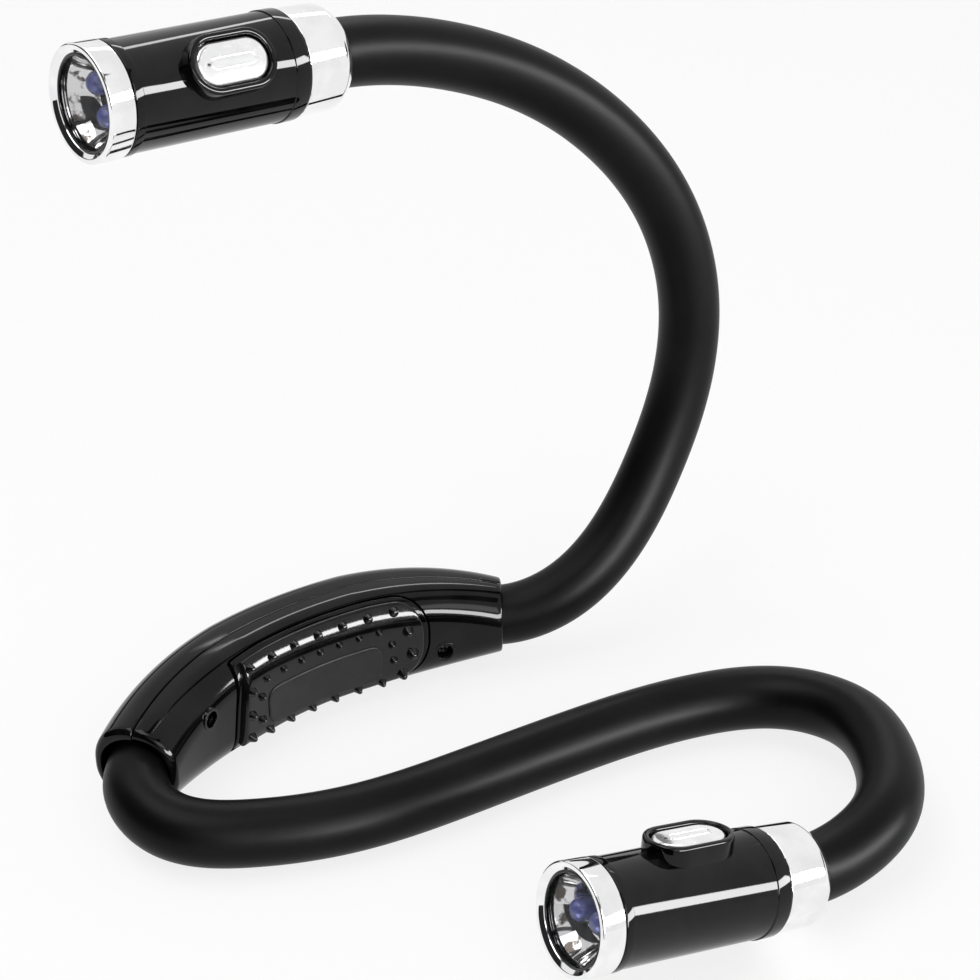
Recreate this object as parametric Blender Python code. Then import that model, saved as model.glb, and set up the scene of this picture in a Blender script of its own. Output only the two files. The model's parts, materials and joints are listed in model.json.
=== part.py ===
"""Neck reading light: two lamp heads on bendable arms that leave a curved battery housing.

The housing follows a level arc and stands on its lower edge. The origin is on its flat underside
at the middle of the arc, with +Z up. The housing's hollow side faces -Y and +X. Head 1 is on the
upper arm, which leaves the housing's right mouth, and head 2 is on the lower arm.
"""

import math

import bmesh
import bpy
import numpy as np
from mathutils import Matrix, Vector

MM = 0.001

# Clearances
GAP = 0.3 * MM
OVERRUN = 0.8 * MM
DOOR_GAP = 0.4 * MM
DOOR_HINGE_GAP = 1.2 * MM
CELL_GAP = 0.6 * MM

# Battery housing, along an arc seen from above
ARC_R = 92.0 * MM
ARC_MIDDLE_DEG = 126.5
RIGHT_REACH = 53.8 * MM
LEFT_REACH = 57.8 * MM
HOUSING_H = 27.5 * MM
HOUSING_T = 21.0 * MM
HOUSING_CORNER_R = 7.5 * MM
WALL = 1.6 * MM
MOUTH_WALL = 1.2 * MM
MOUTH_Z = 12.7 * MM
RIGHT_MOUTH_R = 9.0 * MM
LEFT_MOUTH_R = 10.3 * MM
SEAM_FLAT = 0.6 * MM
REST_INSET = 1.3 * MM
TAPER_POWER = 2.6
TAPER_FLAT_SHARE = 0.3
HOUSING_STATIONS = 15
CORNER_STEPS = 4

# Battery door and its grip pad
DOOR_RIGHT_INSET = 20.8 * MM
DOOR_LEFT_INSET = 27.0 * MM
DOOR_RIGHT_REACH = RIGHT_REACH - DOOR_RIGHT_INSET
DOOR_LEFT_REACH = LEFT_REACH - DOOR_LEFT_INSET
DOOR_BOTTOM_DEG = 35.0
DOOR_TOP_DEG = 60.0
DOOR_CORNER_R = 10.0 * MM
DOOR_PIVOT_DEPTH = 2.2 * MM
PAD_INSET = 1.6 * MM
PAD_T = 1.2 * MM
DOOR_STATIONS = 8
DOOR_RISE_STEPS = 8

# Housing screws
SCREW_HEAD_R = 1.7 * MM
SCREW_HEAD_T = 1.2 * MM
SCREW_SHANK_R = 0.9 * MM
SCREW_SINK = 1.4 * MM
BOSS_R = 2.6 * MM
BOSS_SEAT_T = 1.5 * MM
PILLAR_FACE_X = 1.0 * MM
SCREW_BITE = 4.0 * MM
SCREW_LEFT_INSET = 18.3 * MM
SCREW_LEFT_Z = 18.3 * MM
SCREW_RIGHT_INSET = 16.3 * MM
SCREW_RIGHT_Z = 9.5 * MM

# Two AAA cells, one above the other, in the height that the housing leaves them
CELL_HEADROOM = 1.35 * MM
CELL_R = (HOUSING_H / 2 - WALL - CELL_HEADROOM - CELL_GAP / 2) / 2
CELL_L = 43.5 * MM
CELL_NUB_R = 1.9 * MM
CELL_NUB_L = 1.0 * MM
CELL_INSET = 2.7 * MM
CONTACT_T = 0.4 * MM
CONTACT_W = 8.0 * MM
SPRING_L = 4.4 * MM
SPRING_R = 2.6 * MM
SPRING_TIP_R = 1.8 * MM
SPRING_WIRE_R = 0.3 * MM
SPRING_TURNS = 3
SPRING_TURN_POINTS = 8

# Bendable arms
TUBE_R = 7.5 * MM
TUBE_BORE_R = 5.0 * MM
RIGHT_ANCHOR_INSET = 10.9 * MM
LEFT_ANCHOR_INSET = 14.9 * MM
ANCHOR_FLANGE_T = 2.5 * MM
CORE_R = 2.2 * MM
CORE_NECK_R = 1.3 * MM
BALL_R = 3.0 * MM
SOCKET_BORE_R = 3.4 * MM
SOCKET_R = 4.2 * MM
CORE_SHOULDER = 5.4 * MM
HINGES = 5
TUBE_SIDES = 12
CORE_SIDES = 8
SOCKET_MOUTH_DEG = 123.0
ROD_RINGS = 5
UPPER_SLEEVE_RINGS = (9, 9, 9, 9, 8)
LOWER_SLEEVE_RINGS = (13, 9, 9, 12, 10)

# The arms' routes: shares of a span, as (along, aside, up) from where each arm starts
UPPER_SPAN = 100.0 * MM
UPPER_ROUTE_SHARES = (
    (0.131, -0.0095, 0.002),
    (0.269, -0.006, 0.051),
    (0.402, 0.046, 0.151),
    (0.517, 0.125, 0.311),
    (0.598, 0.184, 0.518),
    (0.612, 0.208, 0.743),
    (0.546, 0.215, 0.973),
    (0.404, 0.198, 1.173),
    (0.221, 0.157, 1.322),
    (0.009, 0.080, 1.427),
    (-0.287, -0.069, 1.496),
)
UPPER_HEAD_SHARES = (-0.858, -0.511, 0.055)
LOWER_SPAN = 100.0 * MM
LOWER_ROUTE_SHARES = (
    (0.117, 0.0110, -0.004),
    (0.179, 0.037, -0.012),
    (0.239, 0.153, -0.034),
    (0.170, 0.330, -0.049),
    (0.018, 0.505, -0.052),
    (-0.215, 0.670, -0.052),
    (-0.475, 0.834, -0.051),
    (-0.697, 1.016, -0.041),
    (-0.804, 1.208, -0.021),
    (-0.772, 1.395, -0.001),
    (-0.642, 1.514, 0.007),
    (-0.450, 1.570, 0.003),
    (-0.210, 1.466, -0.016),
)
LOWER_HEAD_SHARES = (0.823, -0.5285, 0.208)
ROUTE_SAMPLES = 600

# Lamp heads, measured forward from the collar's rear rim
COLLAR_L = 11.5 * MM
COLLAR_R = 11.5 * MM
COLLAR_REAR_R = 10.3 * MM
COLLAR_SHOULDER = 2.6 * MM
COLLAR_SHOULDER_FULLNESS = 0.7
COLLAR_NOSE_L = 3.0 * MM
COLLAR_NOSE_WALL = 1.2 * MM
TUBE_SEAT = 5.0 * MM
PLUG_L = 4.5 * MM
PLUG_HEAD_R = 3.6 * MM
PLUG_HEAD_T = 1.2 * MM
BARREL_L = 41.9 * MM
BARREL_R = 11.8 * MM
BARREL_WALL = 1.3 * MM
BARREL_BAND_STEP = 0.25 * MM
BARREL_REAR_BAND = 3.5 * MM
BARREL_FRONT_BAND = 2.0 * MM
BARREL_NOSE_L = 2.3 * MM
BARREL_NOSE_WALL = 1.1 * MM
BEZEL_L = 5.6 * MM
BEZEL_R = 12.0 * MM
BEZEL_WALL = 1.2 * MM
BEZEL_LIP_R = 9.8 * MM
BEZEL_LIP_T = 1.2 * MM
BEZEL_ROUND = 0.9 * MM
LENS_T = 1.0 * MM
REFLECTOR_T = 0.8 * MM
REFLECTOR_DEPTH = 4.8 * MM
REFLECTOR_MOUTH_R = 9.3 * MM
REFLECTOR_FLOOR_R = 6.5 * MM
LED_SPACING = 7.0 * MM
LED_R = 2.5 * MM
LED_FLANGE_R = 2.9 * MM
LED_FLANGE_T = 1.0 * MM
LED_DOME_RISE = 4.0 * MM
BOARD_T = 1.2 * MM
HEAD_SIDES = 20
BUTTON_AIM_SHARES = {1: (0.0, -1.0, 0.5), 2: (0.0, 0.25, 1.0)}

# Push button and its switch
BUTTON_PLACE = 19.6 * MM
BUTTON_HALF_L = 8.5 * MM
BUTTON_HALF_W = 4.5 * MM
BUTTON_PROUD = 1.9 * MM
BUTTON_EDGE = 0.6 * MM
BUTTON_FLANGE = 0.9 * MM
BUTTON_FLANGE_T = 0.8 * MM
BUTTON_FLANGE_DEPTH = 3.4 * MM
BUTTON_TRAVEL = 0.6 * MM
RIM_W = 1.5 * MM
RIM_PROUD = 2.2 * MM
RIM_ROOT_DEPTH = 2.6 * MM
SWITCH_W = 6.0 * MM
SWITCH_H = 3.4 * MM
SWITCH_PLUNGER_R = 1.6 * MM
SWITCH_PLUNGER_H = 0.8 * MM
SWITCH_BOARD_L = 30.0 * MM

SMOOTH_DEG = 35.0


def mix(start, end, share):
    """Value at a share of the way from start to end."""
    return start + (end - start) * share


def material(name, colour, roughness, metallic=0.0):
    """A Principled material with the piece's plain colour."""
    made = bpy.data.materials.new(name)
    made.use_nodes = True
    shader = made.node_tree.nodes["Principled BSDF"]
    shader.inputs["Base Color"].default_value = (*colour, 1.0)
    shader.inputs["Roughness"].default_value = roughness
    shader.inputs["Metallic"].default_value = metallic
    made.diffuse_color = (*colour, 1.0)
    return made


class Place:
    """An empty that carries pieces, with its world matrix."""

    def __init__(self, name, world, parent=None):
        self.world = world
        self.empty = bpy.data.objects.new(name, None)
        bpy.context.scene.collection.objects.link(self.empty)
        if parent:
            self.empty.parent = parent.empty
            self.empty.matrix_basis = parent.world.inverted() @ world
        else:
            self.empty.matrix_basis = world


def frame_matrix(origin, x_axis, y_axis, z_axis):
    """World matrix of a place from its origin and three unit axes."""
    turn = Matrix((x_axis, y_axis, z_axis)).transposed().to_4x4()
    return Matrix.Translation(origin) @ turn


def add_piece(name, bm, finish, place, in_world=False):
    """Turn a bmesh into a named object under a place; in_world says how its points are measured."""
    bmesh.ops.recalc_face_normals(bm, faces=bm.faces)
    mesh = bpy.data.meshes.new(name)
    bm.to_mesh(mesh)
    bm.free()
    if in_world:
        mesh.transform(place.world.inverted())
    mesh.shade_smooth()
    mesh.set_sharp_from_angle(angle=math.radians(SMOOTH_DEG))
    mesh.materials.append(finish)
    piece = bpy.data.objects.new(name, mesh)
    bpy.context.scene.collection.objects.link(piece)
    piece.parent = place.empty
    return piece


def combine(target, tool, operation):
    """Cut a tool out of a piece, or join it on, with an exact Boolean."""
    tool.hide_render = True
    tool.display_type = "WIRE"
    modifier = target.modifiers.new(f"{operation.lower()} {tool.name}", "BOOLEAN")
    modifier.operation = operation
    modifier.solver = "EXACT"
    modifier.object = tool


def skin(bm, rings, looped=False, capped=False):
    """Join rings of vertices with faces; a ring of one vertex is a pole."""
    pairs = list(zip(rings, rings[1:]))
    if looped:
        pairs.append((rings[-1], rings[0]))
    for lower, upper in pairs:
        for k in range(max(len(lower), len(upper))):
            corners = [lower[k % len(lower)], lower[(k + 1) % len(lower)]]
            corners += [upper[(k + 1) % len(upper)], upper[k % len(upper)]]
            bm.faces.new(list(dict.fromkeys(corners)))
    if capped:
        bm.faces.new(rings[0])
        bm.faces.new(rings[-1])


def turned(profile, sides):
    """Solid turned about Z from (radius, height) points that close on themselves or on the axis."""
    bm = bmesh.new()
    rings = []
    for radius, height in profile:
        if radius == 0:
            rings.append([bm.verts.new((0, 0, height))])
            continue
        angles = [math.tau * (k + 0.5) / sides for k in range(sides)]
        rings.append([bm.verts.new((radius * math.cos(a), radius * math.sin(a), height)) for a in angles])
    skin(bm, rings, looped=profile[0][0] > 0)
    return bm


def block(low, high):
    """Box between two corners."""
    bm = bmesh.new()
    rings = []
    for z in (low[2], high[2]):
        corners = ((low[0], low[1]), (high[0], low[1]), (high[0], high[1]), (low[0], high[1]))
        rings.append([bm.verts.new((x, y, z)) for x, y in corners])
    skin(bm, rings, capped=True)
    return bm


def turn_to_x(bm):
    """Lay a solid turned about Z along X, nose forward."""
    bmesh.ops.rotate(bm, verts=bm.verts, cent=(0, 0, 0), matrix=Matrix.Rotation(math.pi / 2, 3, "Y"))
    return bm


# Housing


def arc_angle(reach):
    """Direction from the arc's centre at a distance along the arc, left of its middle."""
    return math.radians(ARC_MIDDLE_DEG) + reach / ARC_R


def arc_centre():
    """Centre of the housing's arc, on the ground."""
    middle = arc_angle(0)
    distance = ARC_R - REST_INSET
    return Vector((-distance * math.cos(middle), -distance * math.sin(middle), 0))


def arc_point(reach, outward, z):
    """Point beside the arc line: outward is measured away from the arc's centre."""
    angle = arc_angle(reach)
    radius = ARC_R + outward
    return arc_centre() + Vector((radius * math.cos(angle), radius * math.sin(angle), z))


def arc_axes(reach):
    """Unit vectors at a place on the arc: leftward along it, and outward."""
    angle = arc_angle(reach)
    outward = Vector((math.cos(angle), math.sin(angle), 0))
    leftward = Vector((-math.sin(angle), math.cos(angle), 0))
    return leftward, outward


def fullness(reach):
    """Share of the full middle section: 0 at the mouths and 1 along the flat middle."""
    along = (reach + RIGHT_REACH) / (RIGHT_REACH + LEFT_REACH)
    off_middle = min(1.0, abs(2 * along - 1))
    rise = (1 - off_middle**TAPER_POWER) / (1 - TAPER_FLAT_SHARE**TAPER_POWER)
    return min(1.0, rise)


class Section:
    """Rounded rectangle across the housing at one place: outside, or inside by its wall."""

    def __init__(self, reach, inside=False):
        wall = WALL if inside else 0
        mouth_r = RIGHT_MOUTH_R if reach < 0 else LEFT_MOUTH_R
        if inside:
            mouth_r -= MOUTH_WALL
        share = fullness(reach)
        self.half_width = mix(mouth_r, HOUSING_T / 2 - wall, share)
        self.top = mix(MOUTH_Z + mouth_r, HOUSING_H - wall, share)
        self.bottom = mix(MOUTH_Z - mouth_r, wall, share)
        self.corner = mix(mouth_r - SEAM_FLAT, HOUSING_CORNER_R - wall, share)

    def half_outline(self, side):
        """(outward, z) points of one half, from the top seam round to the bottom seam."""
        flat = self.half_width - self.corner
        points = [(side * GAP / 2, self.top)]
        for first, centre_z in ((90, self.top - self.corner), (0, self.bottom + self.corner)):
            for step in range(CORNER_STEPS + 1):
                angle = math.radians(first - 90 * step / CORNER_STEPS)
                outward = side * (flat + self.corner * math.cos(angle))
                points.append((outward, centre_z + self.corner * math.sin(angle)))
        points.append((side * GAP / 2, self.bottom))
        return points

    def wall_at(self, z):
        """Distance of the side wall from the arc line at a height."""
        above = max(0, z - (self.top - self.corner))
        below = max(0, self.bottom + self.corner - z)
        depth = max(above, below)
        return self.half_width - self.corner + math.sqrt(max(0, self.corner**2 - depth**2))

    def flat_half(self):
        """Half the height of the side wall's flat part."""
        return (self.top - self.bottom) / 2 - self.corner

    def wall_point(self, along, offset):
        """(outward, z) at a distance along the side wall from its mid-height, moved out by offset."""
        round_run = max(0, abs(along) - self.flat_half())
        lean = round_run / self.corner
        reach_out = self.corner + offset
        rise = min(abs(along), self.flat_half()) + reach_out * math.sin(lean)
        middle = (self.top + self.bottom) / 2
        outward = self.half_width - self.corner + reach_out * math.cos(lean)
        return outward, middle + math.copysign(rise, along)

    def rise_at(self, outward):
        """How far the floor stands above its lowest at a distance from the arc line."""
        into_corner = max(0, abs(outward) - (self.half_width - self.corner))
        return self.corner - math.sqrt(max(0, self.corner**2 - into_corner**2))


def shell_solid(side):
    """Half of the housing: a C-shaped section along the arc, -1 for the hollow side."""
    bm = bmesh.new()
    rings = []
    for step in range(HOUSING_STATIONS):
        reach = mix(-RIGHT_REACH, LEFT_REACH, step / (HOUSING_STATIONS - 1))
        outline = Section(reach).half_outline(side) + Section(reach, True).half_outline(side)[::-1]
        rings.append([bm.verts.new(arc_point(reach, outward, z)) for outward, z in outline])
    skin(bm, rings, capped=True)
    return bm


def door_stations(inset):
    """Places along the door or pad, from its right end to its left, close together at round ends."""
    right = -DOOR_RIGHT_REACH + inset
    left = DOOR_LEFT_REACH - inset
    round_r = DOOR_CORNER_R - inset
    ends = [round_r * (1 - math.cos(math.radians(angle))) for angle in (0, 30, 55, 75, 90)]
    stations = [right + end for end in ends]
    for step in range(1, DOOR_STATIONS + 1):
        stations.append(mix(right + round_r, left, step / DOOR_STATIONS))
    return stations


def door_rise(reach, inset):
    """Lowest and highest point of the door's outline along the wall, its right end rounded."""
    section = Section(reach)
    round_r = DOOR_CORNER_R - inset
    into_round = max(0, round_r - (reach + DOOR_RIGHT_REACH - inset))
    drop = round_r - math.sqrt(max(0, round_r**2 - into_round**2))
    low = -section.flat_half() - section.corner * math.radians(DOOR_BOTTOM_DEG)
    high = section.flat_half() + section.corner * math.radians(DOOR_TOP_DEG)
    return low + inset + drop, high - inset - drop


def wall_strip(inset, outer, inner, left_trim=0):
    """Plate that follows the hollow side's wall, between two offsets from its outer face."""
    bm = bmesh.new()
    rings = []
    stations = door_stations(inset)
    for reach in stations:
        low, high = door_rise(reach, inset)
        if reach == stations[-1]:
            reach -= left_trim
        section = Section(reach)
        places = [mix(low, high, step / DOOR_RISE_STEPS) for step in range(DOOR_RISE_STEPS + 1)]
        points = [section.wall_point(along, outer) for along in places]
        points += [section.wall_point(along, inner) for along in places[::-1]]
        rings.append([bm.verts.new(arc_point(reach, -outward, z)) for outward, z in points])
    skin(bm, rings, capped=True)
    return bm


def radial_rod(profile, reach, z):
    """Solid turned about a line through the arc line: heights count outward from the arc line."""
    leftward, outward = arc_axes(reach)
    bm = turned(profile, CORE_SIDES + 2)
    up = Vector((0, 0, 1))
    bm.transform(frame_matrix(arc_point(reach, 0, z), leftward, up, outward))
    return bm


def screw_places():
    """Names, places along the arc and heights of the two housing screws."""
    yield "screw_left", LEFT_REACH - SCREW_LEFT_INSET, SCREW_LEFT_Z
    yield "screw_right", SCREW_RIGHT_INSET - RIGHT_REACH, SCREW_RIGHT_Z


def build_screw(name, reach, z, inner_shell, outer_shell, finish, place):
    """One screw with its sunk boss in the inner shell and its pillar in the outer shell."""
    wall_face = -Section(reach).wall_at(z)
    wall_back = -Section(reach, True).wall_at(z)
    head_top = wall_face + SCREW_SINK
    seat = head_top + SCREW_HEAD_T + GAP
    boss_end = seat + BOSS_SEAT_T
    pillar_root = Section(reach, True).wall_at(z) + WALL / 2
    tip = PILLAR_FACE_X + SCREW_BITE
    hole_r = SCREW_SHANK_R + GAP
    sink_r = SCREW_HEAD_R + GAP
    boss = radial_rod(
        [(0, wall_back - WALL / 2), (BOSS_R, wall_back - WALL / 2), (BOSS_R, boss_end), (0, boss_end)],
        reach, z,
    )
    pillar = radial_rod(
        [(0, PILLAR_FACE_X), (BOSS_R, PILLAR_FACE_X), (BOSS_R, pillar_root), (0, pillar_root)], reach, z,
    )
    sink = radial_rod(
        [(0, wall_face - OVERRUN), (sink_r, wall_face - OVERRUN), (sink_r, seat), (hole_r, seat),
         (hole_r, boss_end + OVERRUN), (0, boss_end + OVERRUN)],
        reach, z,
    )
    bite_start = PILLAR_FACE_X - OVERRUN
    bite = radial_rod([(0, bite_start), (hole_r, bite_start), (hole_r, tip + GAP), (0, tip + GAP)], reach, z)
    combine(inner_shell, add_piece(f"{name}_boss_tool", boss, finish, place, True), "UNION")
    combine(inner_shell, add_piece(f"{name}_sink_tool", sink, finish, place, True), "DIFFERENCE")
    combine(outer_shell, add_piece(f"{name}_pillar_tool", pillar, finish, place, True), "UNION")
    combine(outer_shell, add_piece(f"{name}_bite_tool", bite, finish, place, True), "DIFFERENCE")
    head_end = head_top + SCREW_HEAD_T
    screw = radial_rod(
        [(0, head_top), (SCREW_HEAD_R, head_top), (SCREW_HEAD_R, head_end), (SCREW_SHANK_R, head_end),
         (SCREW_SHANK_R, tip), (0, tip)],
        reach, z,
    )
    add_piece(name, screw, finish, place, True)


def build_housing(finishes):
    """Two shells, the screws, and the hinged door with its grip pad."""
    root = Place("housing_place", Matrix.Identity(4))
    outer_shell = add_piece("outer_shell", shell_solid(1), finishes["smoke"], root)
    inner_shell = add_piece("inner_shell", shell_solid(-1), finishes["smoke"], root)
    opening = wall_strip(-DOOR_GAP, OVERRUN, -WALL - OVERRUN)
    combine(inner_shell, add_piece("door_opening_tool", opening, finishes["smoke"], root), "DIFFERENCE")
    for name, reach, z in screw_places():
        build_screw(name, reach, z, inner_shell, outer_shell, finishes["steel"], root)
    leftward, _ = arc_axes(DOOR_LEFT_REACH)
    up = Vector((0, 0, 1))
    pivot = arc_point(DOOR_LEFT_REACH, -HOUSING_T / 2 + DOOR_PIVOT_DEPTH, 0)
    door_place = Place("door_pivot", frame_matrix(pivot, leftward, up.cross(leftward), up), root)
    door = wall_strip(0, 0, -WALL, DOOR_HINGE_GAP - DOOR_GAP)
    add_piece("battery_door", door, finishes["smoke"], door_place, True)
    pad = wall_strip(PAD_INSET, GAP + PAD_T, GAP)
    add_piece("grip_pad", pad, finishes["pad"], door_place, True)
    return root


# Battery bay


def spring_points(forward):
    """Points along a cone spring from its plate, and the least clear distance between its turns."""
    length = SPRING_L - 2 * SPRING_WIRE_R
    count = SPRING_TURNS * SPRING_TURN_POINTS
    points = []
    for step in range(count + 1):
        share = step / count
        radius = mix(SPRING_R, SPRING_TIP_R, share)
        angle = math.tau * SPRING_TURNS * share
        points.append(Vector((forward * length * share, radius * math.cos(angle), radius * math.sin(angle))))
    clear = min(
        (a - b).length - 2 * SPRING_WIRE_R
        for k, a in enumerate(points)
        for b in points[k + SPRING_TURN_POINTS // 2:]
    )
    print(f"spring turns stay {clear / MM:.2f} mm apart")
    return points


def add_spring(name, start, forward, finish, place):
    """Cone spring as one wire of round section."""
    curve = bpy.data.curves.new(name, "CURVE")
    curve.dimensions = "3D"
    curve.bevel_depth = SPRING_WIRE_R
    curve.bevel_resolution = 1
    curve.use_fill_caps = True
    points = spring_points(forward)
    line = curve.splines.new("POLY")
    line.points.add(len(points) - 1)
    for point, target in zip(line.points, points):
        point.co = (*(start + target), 1)
    curve.materials.append(finish)
    piece = bpy.data.objects.new(name, curve)
    bpy.context.scene.collection.objects.link(piece)
    piece.parent = place.empty


def build_cells(finishes, root):
    """Two cells, their plates and springs, along the chord behind the door."""
    bay_reach = (DOOR_LEFT_REACH - DOOR_RIGHT_REACH) / 2
    leftward, outward = arc_axes(bay_reach)
    inner_face = arc_point(bay_reach, -HOUSING_T / 2 + CELL_INSET + CELL_R, HOUSING_H / 2)
    place = Place("battery_bay", frame_matrix(inner_face, -leftward, outward, Vector((0, 0, 1))), root)
    bay_half = (CELL_L + CELL_NUB_L + SPRING_L) / 2 + GAP
    lift = CELL_R + CELL_GAP / 2
    nub_end = CELL_L + CELL_NUB_L
    profile = [(0, 0), (CELL_R, 0), (CELL_R, CELL_L)]
    profile += [(CELL_NUB_R, CELL_L), (CELL_NUB_R, nub_end), (0, nub_end)]
    for name, side in (("upper", 1), ("lower", -1)):
        bm = turn_to_x(turned(profile, TUBE_SIDES))
        bmesh.ops.translate(bm, verts=bm.verts, vec=(bay_half - GAP - nub_end, 0, 0))
        if side < 0:
            bmesh.ops.rotate(bm, verts=bm.verts, cent=(0, 0, 0), matrix=Matrix.Rotation(math.pi, 3, "Z"))
        bmesh.ops.translate(bm, verts=bm.verts, vec=(0, 0, side * lift))
        add_piece(f"cell_{name}", bm, finishes["cell"], place)
        start = Vector((-side * (bay_half - SPRING_WIRE_R), 0, side * lift))
        add_spring(f"spring_{name}", start, side, finishes["steel"], place)
    build_contacts(bay_reach, bay_half, finishes["steel"], place)


def build_contacts(bay_reach, bay_half, finish, place):
    """Spring plates at the bay's two ends: a bridge on the left, and one for each pole on the right."""
    half_w = CONTACT_W / 2
    edge = CELL_GAP / 2
    chord_r = ARC_R - HOUSING_T / 2 + CELL_INSET + CELL_R
    plates = (("contact_bridge", -1, True, True), ("contact_positive", 1, False, True),
              ("contact_negative", 1, True, False))
    for name, end, to_floor, to_roof in plates:
        near = end * (bay_half + GAP)
        far = near + end * CONTACT_T
        section = Section(bay_reach - ARC_R * math.atan2(far, chord_r), True)
        seat = section.rise_at(math.hypot(chord_r + half_w, far) - ARC_R) + GAP
        low_z = section.bottom + seat - HOUSING_H / 2 if to_floor else edge
        high_z = section.top - seat - HOUSING_H / 2 if to_roof else -edge
        plate = block((min(near, far), -half_w, low_z), (max(near, far), half_w, high_z))
        add_piece(name, plate, finish, place)


# Arms


class Route:
    """Smooth line through chosen points, with a frame carried along it without twisting."""

    def __init__(self, reach, way, span, shares, head_shares, straight):
        leftward, _ = arc_axes(reach)
        along = leftward * way
        up = Vector((0, 0, 1))
        aside = up.cross(along)
        start = arc_point(reach, 0, MOUTH_Z)
        points = [start]
        for share in shares:
            points.append(start + (along * share[0] + aside * share[1] + up * share[2]) * span)
        ahead = (along * head_shares[0] + aside * head_shares[1] + up * head_shares[2]).normalized()
        line = clamped_spline(np.array(points), np.array(along), np.array(ahead))
        line = np.vstack([line, line[-1] + np.array(ahead) * straight])
        steps = np.linalg.norm(np.diff(line, axis=0), axis=1)
        self.marks = np.concatenate([[0], np.cumsum(steps)])
        self.line = line
        self.length = self.marks[-1]
        self.carry_frame(up)

    def carry_frame(self, up):
        """Carry a crosswise direction along the line, kept square to it at every point."""
        runs = np.gradient(self.line, self.marks, axis=0)
        self.tangents = runs / np.linalg.norm(runs, axis=1)[:, None]
        across = np.array(up)
        carried = []
        for tangent in self.tangents:
            across = across - tangent * across.dot(tangent)
            across = across / np.linalg.norm(across)
            carried.append(across)
        self.across = np.array(carried)

    def at(self, mark):
        """Position, tangent and crosswise direction at a distance along the line."""
        values = []
        for table in (self.line, self.tangents, self.across):
            values.append(Vector([float(np.interp(mark, self.marks, table[:, k])) for k in range(3)]))
        position, tangent, across = values
        tangent.normalize()
        across = (across - tangent * across.dot(tangent)).normalized()
        return position, tangent, across


def clamped_spline(points, first_way, last_way):
    """Cubic spline through points, spaced by chord, that leaves and arrives along two directions."""
    spans = np.linalg.norm(np.diff(points, axis=0), axis=1)
    count = len(points)
    system = np.zeros((count, count))
    right = np.zeros((count, 3))
    system[0, 0] = 1
    right[0] = first_way
    system[-1, -1] = 1
    right[-1] = last_way
    for k in range(1, count - 1):
        before, after = spans[k - 1], spans[k]
        system[k, k - 1:k + 2] = after, 2 * (before + after), before
        rise_before = (points[k] - points[k - 1]) / before
        rise_after = (points[k + 1] - points[k]) / after
        right[k] = 3 * (after * rise_before + before * rise_after)
    slopes = np.linalg.solve(system, right)
    marks = np.concatenate([[0], np.cumsum(spans)])
    line = []
    for mark in np.linspace(0, marks[-1], ROUTE_SAMPLES):
        k = min(int(np.searchsorted(marks, mark, side="right")) - 1, count - 2)
        share = (mark - marks[k]) / spans[k]
        ease = share * share * (3 - 2 * share)
        pull = share * (1 - share)
        bend = slopes[k] * (1 - share) - slopes[k + 1] * share
        line.append(mix(points[k], points[k + 1], ease) + bend * pull * spans[k])
    return np.array(line)


def ring_on(bm, position, tangent, across, radius, sides):
    """Ring of vertices square to a line, or a pole where the radius is zero."""
    if radius == 0:
        return [bm.verts.new(position)]
    other = tangent.cross(across)
    ring = []
    for k in range(sides):
        angle = math.tau * (k + 0.5) / sides
        ring.append(bm.verts.new(position + (across * math.cos(angle) + other * math.sin(angle)) * radius))
    return ring


def sleeve_solid(route, start, end, rings):
    """One stretch of the soft tube, with its bore."""
    bm = bmesh.new()
    marks = [mix(start, end, k / (rings - 1)) for k in range(rings)]
    outer = [ring_on(bm, *route.at(mark), TUBE_R, TUBE_SIDES) for mark in marks]
    inner = [ring_on(bm, *route.at(mark), TUBE_BORE_R, TUBE_SIDES) for mark in marks[::-1]]
    skin(bm, outer + inner, looped=True)
    return bm


def socket_profile():
    """(ahead, radius) of the cup at a link's start: its bore, its rim and its outside."""
    mouth = math.radians(SOCKET_MOUTH_DEG)
    points = [(SOCKET_BORE_R, 0)]
    for angle in (math.radians(30), math.radians(60), math.radians(90), mouth):
        points.append((SOCKET_BORE_R * math.cos(angle), SOCKET_BORE_R * math.sin(angle)))
    root = math.asin(CORE_R / SOCKET_R)
    for angle in (mouth, math.radians(90), math.radians(60), root):
        points.append((SOCKET_R * math.cos(angle), SOCKET_R * math.sin(angle)))
    return points


def ball_profile():
    """(ahead, radius) of the neck and ball at a link's end."""
    neck = math.pi - math.asin(CORE_NECK_R / BALL_R)
    points = [(-CORE_SHOULDER, CORE_R), (-SOCKET_R, CORE_NECK_R)]
    for share in (1, 0.75, 0.5, 0.25):
        points.append((BALL_R * math.cos(neck * share), BALL_R * math.sin(neck * share)))
    points.append((BALL_R, 0))
    return points


def link_solid(route, first, last, has_socket, has_ball, flange_r):
    """One link of the arm's core, from one hinge to the next, bent along the route."""
    bm = bmesh.new()
    rings = []

    def straight_rings(mark, profile):
        position, tangent, across = route.at(mark)
        for ahead, radius in profile:
            rings.append(ring_on(bm, position + tangent * ahead, tangent, across, radius, CORE_SIDES))

    rod_start = first + CORE_SHOULDER
    rod_end = last - CORE_SHOULDER
    if has_socket:
        straight_rings(first, socket_profile())
    else:
        straight_rings(first, ((0, 0), (0, flange_r)))
        straight_rings(first + ANCHOR_FLANGE_T, ((0, flange_r), (0, CORE_R)))
    if not has_ball:
        rod_end = last - PLUG_HEAD_T
    for k in range(1, ROD_RINGS + 1):
        mark = mix(rod_start, rod_end, k / (ROD_RINGS + 1))
        rings.append(ring_on(bm, *route.at(mark), CORE_R, CORE_SIDES))
    if has_ball:
        straight_rings(last, ball_profile())
    else:
        straight_rings(rod_end, ((0, CORE_R), (0, PLUG_HEAD_R), (PLUG_HEAD_T, PLUG_HEAD_R), (PLUG_HEAD_T, 0)))
    skin(bm, rings)
    return bm


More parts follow.
